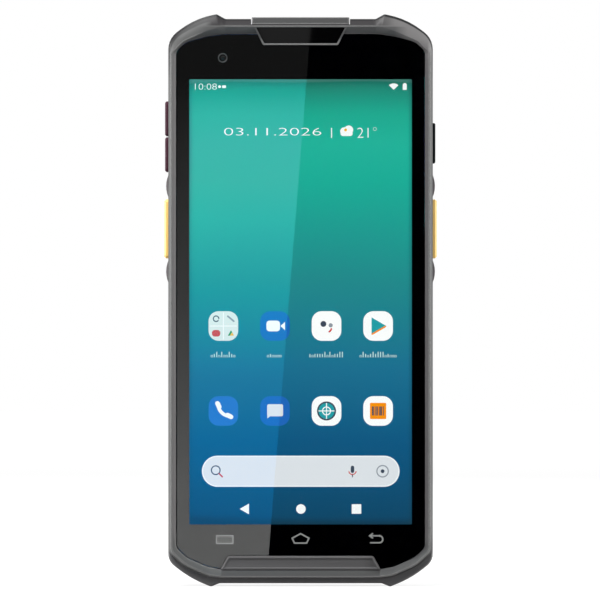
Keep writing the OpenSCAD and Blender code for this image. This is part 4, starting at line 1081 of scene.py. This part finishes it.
inkTones = {
    "White": ((252, 253, 253), (246, 248, 249)), "Pill": ((224, 228, 233), (220, 225, 231)),
    "Rim": ((248, 250, 252), (240, 243, 246)), "Soft": ((198, 226, 224), (186, 220, 218)),
    "Teal": ((38, 166, 170), (28, 150, 164)), "Orange": ((252, 152, 12), (246, 140, 6)),
    "Red": ((206, 52, 48), (196, 44, 44)), "Green": ((50, 150, 84), (44, 140, 78)),
    "Yellow": ((246, 190, 52), (240, 180, 44)), "Slate": ((64, 76, 92), (54, 66, 84)),
    "Grey": ((150, 158, 166), (138, 146, 156)), "Key": ((150, 151, 150), (138, 139, 139), 0.1),
}
inks = {name: inkMaterial("ink" + name, *tones) for name, tones in inkTones.items()}

def flatPiece(name, parts, slot="display"):
    # parts: [(ink, layer, shapes)], drawn in x and height and seen from the front
    mesh = sheetMesh(name, [(inks[ink], [[(x * mm, (screenFront - layer * layerStep) * mm, z * mm)
        for x, z in shape] for shape in shapes]) for ink, layer, shapes in parts])
    work = bmesh.new()
    work.from_mesh(mesh)
    work.normal_update()
    for face in work.faces:
        if face.normal.y > 0:
            face.normal_flip()
    work.to_mesh(mesh)
    work.free()
    placePiece(name, mesh, handset, slot)


# rounded tiles in two rows of four, each in a tone of its own
tileSetup = {"side": 8.55, "corner": 2.9, "left": -22.3, "pitchX": 14.9, "low": 50.72, "pitchZ": 24.54,
    "columns": 4, "rows": 2, "cornerSteps": 10,
    "tones": ["sky", "blue", "white", "white", "pale", "blue", "white", "white"],
    "shades": {"sky": (38, 112, 194), "blue": (28, 100, 184), "white": (252, 253, 253),
        "pale": (216, 228, 226)}}

def tileColour(p):
    # the tone comes from the tile's number, kept as an attribute of its faces
    material, tree = startMaterial("tileLight")
    number = addNode(tree, "ShaderNodeAttribute", attribute_name="tileNumber").outputs["Fac"]
    count = len(p["tones"])
    ramp = rampNode(tree, calc(tree, "DIVIDE", number, count), [(max(0.0, (i - 0.5) / count),
        linear(*p["shades"][tone], lightGain)) for i, tone in enumerate(p["tones"])], "CONSTANT")
    lit = plus(tree, times(tree, noiseNode(tree, 120.0, 1.0), -0.06), 1.03)
    litMaterial(tree, scaled(tree, ramp, lit))
    return material

def makeTiles(p):
    tree, given, made = startTree("tileGrid", {"Side": 1.0, "Corner": 0.2, "Pitch X": 1.0, "Pitch Z": 1.0,
        "Columns": 4, "Rows": 2})
    def stood(flat):
        return addNode(tree, "GeometryNodeTransform", {"Geometry": flat, "Rotation": upright})
    square = addNode(tree, "GeometryNodeCurvePrimitiveQuadrilateral", {"Width": given["Side"],
        "Height": given["Side"]})
    rounded = addNode(tree, "GeometryNodeFilletCurve", {"Curve": square, "Radius": given["Corner"],
        "Count": p["cornerSteps"]}, mode="POLY")
    filled = addNode(tree, "GeometryNodeFillCurve", {"Curve": rounded})
    between = minus(tree, given["Columns"], 1.0)
    wide = times(tree, given["Pitch X"], between)
    grid = addNode(tree, "GeometryNodeMeshGrid", {"Vertices X": given["Columns"],
        "Vertices Y": given["Rows"], "Size X": wide, "Size Y": given["Pitch Z"]})
    # tiles are numbered by their place: along the row, then by row
    place = splitPlace(tree, addNode(tree, "GeometryNodeInputPosition"))
    column = plus(tree, calc(tree, "DIVIDE", place["X"], given["Pitch X"]),
        times(tree, between, 0.5))
    before = times(tree, calc(tree, "GREATER_THAN", place["Z"], 0.0), given["Columns"])
    stored = addNode(tree, "GeometryNodeStoreNamedAttribute", {"Geometry": stood(grid),
        "Name": "tileNumber", "Value": plus(tree, column, before)}, data_type="FLOAT", domain="POINT")
    endTree(tree, made, putOnPoints(tree, stored, stood(filled)), tileColour(p))
    mesh = growMesh("screenTiles", tree, {"Side": p["side"] * mm, "Corner": p["corner"] * mm,
        "Pitch X": p["pitchX"] * mm, "Pitch Z": p["pitchZ"] * mm, "Columns": p["columns"], "Rows": p["rows"]})
    mesh.transform(moved(p["left"] + (p["columns"] - 1) / 2 * p["pitchX"], screenFront - layerStep,
        p["low"] + p["pitchZ"] / 2))
    placePiece("screenTiles", mesh, handset, "display")

makeTiles(tileSetup)

def shifted(x, z, *points):
    return [(x + a, z + b) for a, b in points]

def tileCentre(column, row):
    return (tileSetup["left"] + column * tileSetup["pitchX"], tileSetup["low"] + row * tileSetup["pitchZ"])

def makeTileMarks():
    # folder with four plain counters
    x, z = tileCentre(0, 1)
    parts = [("White", 2, bar(x, z, 0.24, 7.8) + bar(x, z, 7.8, 0.24)),
        ("Slate", 3, stroke(arcPoints(x - 2.1, z + 2.1, 0.8, 0, 320), 0.32)),
        ("Grey", 3, stroke(shifted(x, z, (1.3, 2.8), (3.0, 1.4)), 0.5)),
        ("Red", 3, roundedBox(x - 2.1, z - 2.1, 2.4, 1.9, 0.8)),
        ("Green", 3, [shifted(x, z, (1.3, -2.8), (3.1, -2.8), (2.2, -1.2))]),
        ("Yellow", 4, [shifted(x, z, (1.9, -2.8), (3.1, -2.8), (2.5, -1.8))])]
    # camcorder
    x, z = tileCentre(1, 1)
    parts += [("White", 2, roundedBox(x - 0.5, z, 3.9, 3.1, 0.9)),
        ("White", 2, [shifted(x, z, (1.6, 0), (2.9, -1.2), (2.9, 1.2))])]
    # two dots and a curve
    x, z = tileCentre(2, 1)
    parts += [("Slate", 2, circle(x - 0.9, z + 0.6, 0.85)), ("Grey", 2, circle(x + 1.2, z + 0.2, 0.6)),
        ("Red", 2, stroke(arcPoints(x + 0.2, z - 0.6, 1.2, 300, 350), 0.45))]
    # plain triangle
    x, z = tileCentre(3, 1)
    parts += [("Teal", 2, [shifted(x, z, (-1.9, -2.5), (2.4, 0), (-1.9, 2.5))]),
        ("Orange", 3, stroke(shifted(x, z, (-1.7, -2.35), (2.1, -0.15)), 0.45))]
    # telephone handset
    x, z = tileCentre(0, 0)
    parts += [("White", 2, stroke(arcPoints(x + 2.0, z + 2.0, 3.5, 178, 272), 1.0)),
        ("White", 2, stroke(shifted(x, z, (-1.7, 2.2), (-1.2, 1.2)), 1.35)),
        ("White", 2, stroke(shifted(x, z, (1.2, -1.2), (2.2, -1.7)), 1.35))]
    # message bubble
    x, z = tileCentre(1, 0)
    parts += [("Pill", 2, roundedBox(x + 0.05, z + 0.2, 4.6, 3.5, 0.5)),
        ("Pill", 2, [shifted(x, z, (-2.2, -1.2), (-1.0, -1.2), (-2.2, -2.2))])]
    # globe with its circles
    x, z = tileCentre(2, 0)
    parts += [("Slate", 2, circle(x, z, 2.75)), ("Teal", 3, circle(x, z, 2.3)),
        ("White", 4, loop(x, z, 1.15, 0.3)), ("White", 4, bar(x, z, 4.6, 0.28) + bar(x, z, 0.28, 4.6))]
    # scanner: bars on an orange card
    x, z = tileCentre(3, 0)
    parts.append(("Orange", 2, roundedBox(x, z, 4.7, 4.7, 0.35)))
    for place, wide in ((-1.5, 0.5), (-0.85, 0.25), (-0.3, 0.4), (0.35, 0.25), (0.85, 0.5), (1.5, 0.25)):
        parts.append(("Slate", 3, bar(x + place, z, wide, 2.6)))
    flatPiece("tileMarks", parts)

makeTileMarks()

pillSetup = {"x": 0.05, "z": 33.3, "wide": 57.1, "tall": 8.98, "rim": 0.35, "steps": 24,
    "lens": -24.5, "microphone": 15.0, "ring": 23.7}

def makePill(p):
    z, lens, microphone, ring = p["z"], p["lens"], p["microphone"], p["ring"]
    def pill(rim):
        return roundedBox(p["x"], z, p["wide"] - 2 * rim, p["tall"] - 2 * rim, p["tall"] / 2 - rim - 0.01,
            p["steps"])
    flatPiece("searchPill", [("Rim", 1, pill(0)), ("Pill", 2, pill(p["rim"])),
        # looking glass
        ("Slate", 3, loop(lens, z + 0.3, 1.25, 0.34)),
        ("Red", 3, stroke(shifted(lens, z, (0.95, -0.65), (1.9, -1.6)), 0.42)),
        # microphone
        ("Slate", 3, roundedBox(microphone, z + 0.55, 1.0, 2.1, 0.49)),
        ("Red", 3, stroke(arcPoints(microphone, z + 0.1, 1.05, 190, 350), 0.28)),
        ("Slate", 3, bar(microphone, z - 1.325, 0.28, 0.85)),
        # ring and dot
        ("Grey", 3, loop(ring, z, 1.65, 0.34)),
        ("Slate", 3, circle(ring, z, 0.55))])

makePill(pillSetup)

markSetup = {"navigation": 22.4, "status": 144.4, "cloud": (13.3, 130.9)}      # where the marks stand, mm

def makeNavMarks(z):
    flatPiece("navMarks", [("White", 1, [shifted(0, z, (-17.6, 0), (-14.9, -1.55), (-14.9, 1.55))]),
        ("White", 1, circle(0.1, z, 1.38)), ("White", 1, roundedBox(16.15, z, 2.75, 2.75, 0.15))])

def makeStatusMarks(z):
    fan = [(26.9, z - 0.9)] + arcPoints(26.9, z - 1.1, 2.05, 48, 132, 12)
    flatPiece("statusMarks", [
        ("White", 1, [fan]),
        ("White", 1, roundedBox(30.1, z - 0.05, 1.15, 1.75, 0.1) + bar(30.1, z + 0.9, 0.6, 0.3)),
        ("White", 1, circle(-23.4, z, 0.42) + roundedBox(-22.1, z, 1.1, 0.8, 0.2)),
    ])

def makeCloud(x, z):
    flatPiece("cloudMark", [("White", 1, circle(x - 0.7, z + 0.6, 1.15) + circle(x + 0.6, z + 1.0, 1.3) +
        roundedBox(x, z, 3.5, 1.5, 0.7)), ("Yellow", 2, circle(x - 0.3, z + 1.0, 0.42))])

makeNavMarks(markSetup["navigation"])
makeStatusMarks(markSetup["status"])
makeCloud(*markSetup["cloud"])

figureSetup = {"resolution": 4, "offset": -0.016,       # a thinner face
    # the text, its lower left corner, width and height in mm
    "statusTime": ("10:08", -30.5, 143.55, 6.3, 1.75),
    "dateFigures": ("03.11.2026 |", -22.1, 129.6, 31.2, 2.9),
    "degreeFigures": ("21°", 16.4, 129.6, 5.6, 3.1)}

def makeFigures(name, text, x, z, wide, tall):
    # numerals made a mesh, then fitted to their width and height
    curve = bpy.data.curves.new(name, "FONT")
    curve.body = text
    curve.resolution_u = figureSetup["resolution"]
    curve.offset = figureSetup["offset"]
    mesh = plainMesh(newObject(name, curve))
    low, high = ([pick(v.co[axis] for v in mesh.vertices) for axis in (0, 1)] for pick in (min, max))
    for v in mesh.vertices:
        v.co = Vector(((x + (v.co.x - low[0]) / (high[0] - low[0]) * wide) * mm,
            (screenFront - layerStep) * mm, (z + (v.co.y - low[1]) / (high[1] - low[1]) * tall) * mm))
    mesh.materials.clear()
    mesh.materials.append(inks["White"])
    mesh.name = name
    placePiece(name, mesh, handset, "display")

for name in ("statusTime", "dateFigures", "degreeFigures"):
    makeFigures(name, *figureSetup[name])


# small marks of three kinds stand for the words under the tiles: place, width in mm and seed
captionSetup = {"stroke": 0.28, "tall": 1.6, "lowShare": 0.62, "roundShare": 0.22, "roundSides": 14,
    "gap": 0.72, "z": 67.0, "words": [(-22.4, 7.5, 3), (-7.6, 4.4, 8), (7.4, 10.0, 21), (22.4, 11.0, 34)]}

def makeCaptions(p):
    tree, given, made = startTree("captionMarks", {"Count": 5, "Gap": 1.0, "Stroke": 0.2, "Tall": 1.0,
        "Low Share": 0.62, "Round Share": 0.22, "Seed": 1})
    def upMark(height):
        return addNode(tree, "GeometryNodeCurvePrimitiveQuadrilateral", {"Width": given["Stroke"],
            "Height": height})
    def roundMark(radius):
        return addNode(tree, "GeometryNodeCurvePrimitiveCircle", {"Resolution": p["roundSides"],
            "Radius": radius})
    row = addNode(tree, "GeometryNodeMeshLine", {"Count": given["Count"],
        "Offset": vectorNode(tree, X=given["Gap"])})
    # a round, a short upright and an upright, all standing on one line
    low = times(tree, given["Tall"], given["Low Share"])
    across = times(tree, given["Tall"], given["Round Share"])
    inner = minus(tree, across, times(tree, given["Stroke"], 0.5))
    marks = addNode(tree, "GeometryNodeJoinGeometry")
    for shapes, height in (((roundMark(across), roundMark(inner)), across),
            ((upMark(low),), times(tree, low, 0.5)),
            ((upMark(given["Tall"]),), times(tree, given["Tall"], 0.5))):
        joined = addNode(tree, "GeometryNodeJoinGeometry")
        for shape in shapes:
            tree.links.new(shape.outputs[0], joined.inputs[0])
        stood = addNode(tree, "GeometryNodeTransform", {"Rotation": upright,
            "Geometry": addNode(tree, "GeometryNodeFillCurve", {"Curve": joined}),
            "Translation": vectorNode(tree, Z=height)})
        one = addNode(tree, "GeometryNodeGeometryToInstance", {0: stood})
        tree.links.new(one.outputs[0], marks.inputs[0])
    pick = addNode(tree, "FunctionNodeRandomValue", {"Seed": given["Seed"]}, data_type="INT")
    for socket in pick.inputs:
        if socket.type == "INT" and socket.name in ("Min", "Max"):
            socket.default_value = {"Min": 0, "Max": 2}[socket.name]
    put = putOnPoints(tree, row, marks, Pick_Instance=True, Instance_Index=pick.outputs[2])
    endTree(tree, made, put, inks["Soft"])
    work = bmesh.new()
    for x, wide, seed in p["words"]:
        count = round(wide / p["gap"])
        mesh = growMesh("captionWord", tree, {"Count": count, "Gap": p["gap"] * mm,
            "Stroke": p["stroke"] * mm, "Tall": p["tall"] * mm, "Low Share": p["lowShare"],
            "Round Share": p["roundShare"], "Seed": seed})
        mesh.transform(moved(x - (count - 1) * p["gap"] / 2, screenFront - layerStep, p["z"] - p["tall"] / 2))
        work.from_mesh(mesh)
    mesh = meshFrom(work, "captionWords")
    mesh.materials.append(inks["Soft"])
    placePiece("captionWords", mesh, handset, "display")

makeCaptions(captionSetup)


# touch keys printed on the border, lit from behind
touchKeySetup = {"z": 13.85, "width": 0.4, "gap": 0.03,
    "home": [(-1.75, -1.3), (1.75, -1.3), (2.42, 0.1), (0.0, 1.42), (-2.42, 0.1)],
    "keyboardX": -21.9, "frame": [(-2.35, -1.4), (2.35, -1.4), (2.35, 0.8), (-2.35, 0.8)], "frameWidth": 0.34,
    "rows": 3, "columns": 6, "firstX": -1.8, "firstZ": 0.3, "pitchX": 0.72, "pitchZ": 0.6,
    "key": (0.34, 0.26, 0.06), "backX": 21.45,
    "head": [(-0.65, 1.42), (-1.5, 0.8), (-0.65, 0.18)]}

def makeTouchKeys(p):
    # just behind the glass, on the print
    level = (screenFront - (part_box("cover_glass")[1].y / mm - p["gap"])) / layerStep
    z, x, width = p["z"], p["keyboardX"], p["width"]
    shapes = stroke(shifted(0, z, *p["home"]), width, True)
    # keyboard: a frame round three rows of keys
    shapes += stroke(shifted(x, z, *p["frame"]), p["frameWidth"], True)
    for row in range(p["rows"]):
        for column in range(p["columns"]):
            shapes += roundedBox(x + p["firstX"] + p["pitchX"] * column, z + p["firstZ"] - p["pitchZ"] * row,
                *p["key"], 3)
    # back arrow
    x = p["backX"]
    shapes += stroke(shifted(x, z, (-1.3, 0.8), (1.3, 0.8)) + arcPoints(x + 1.3, z - 0.2, 1.0, 90, -90, 12) +
        [(x - 1.2, z - 1.2)], width)
    shapes += stroke(shifted(x, z, *p["head"]), width)
    flatPiece("touchKeys", [("Key", level, shapes)], "print")

makeTouchKeys(touchKeySetup)
print("screen marks ready")
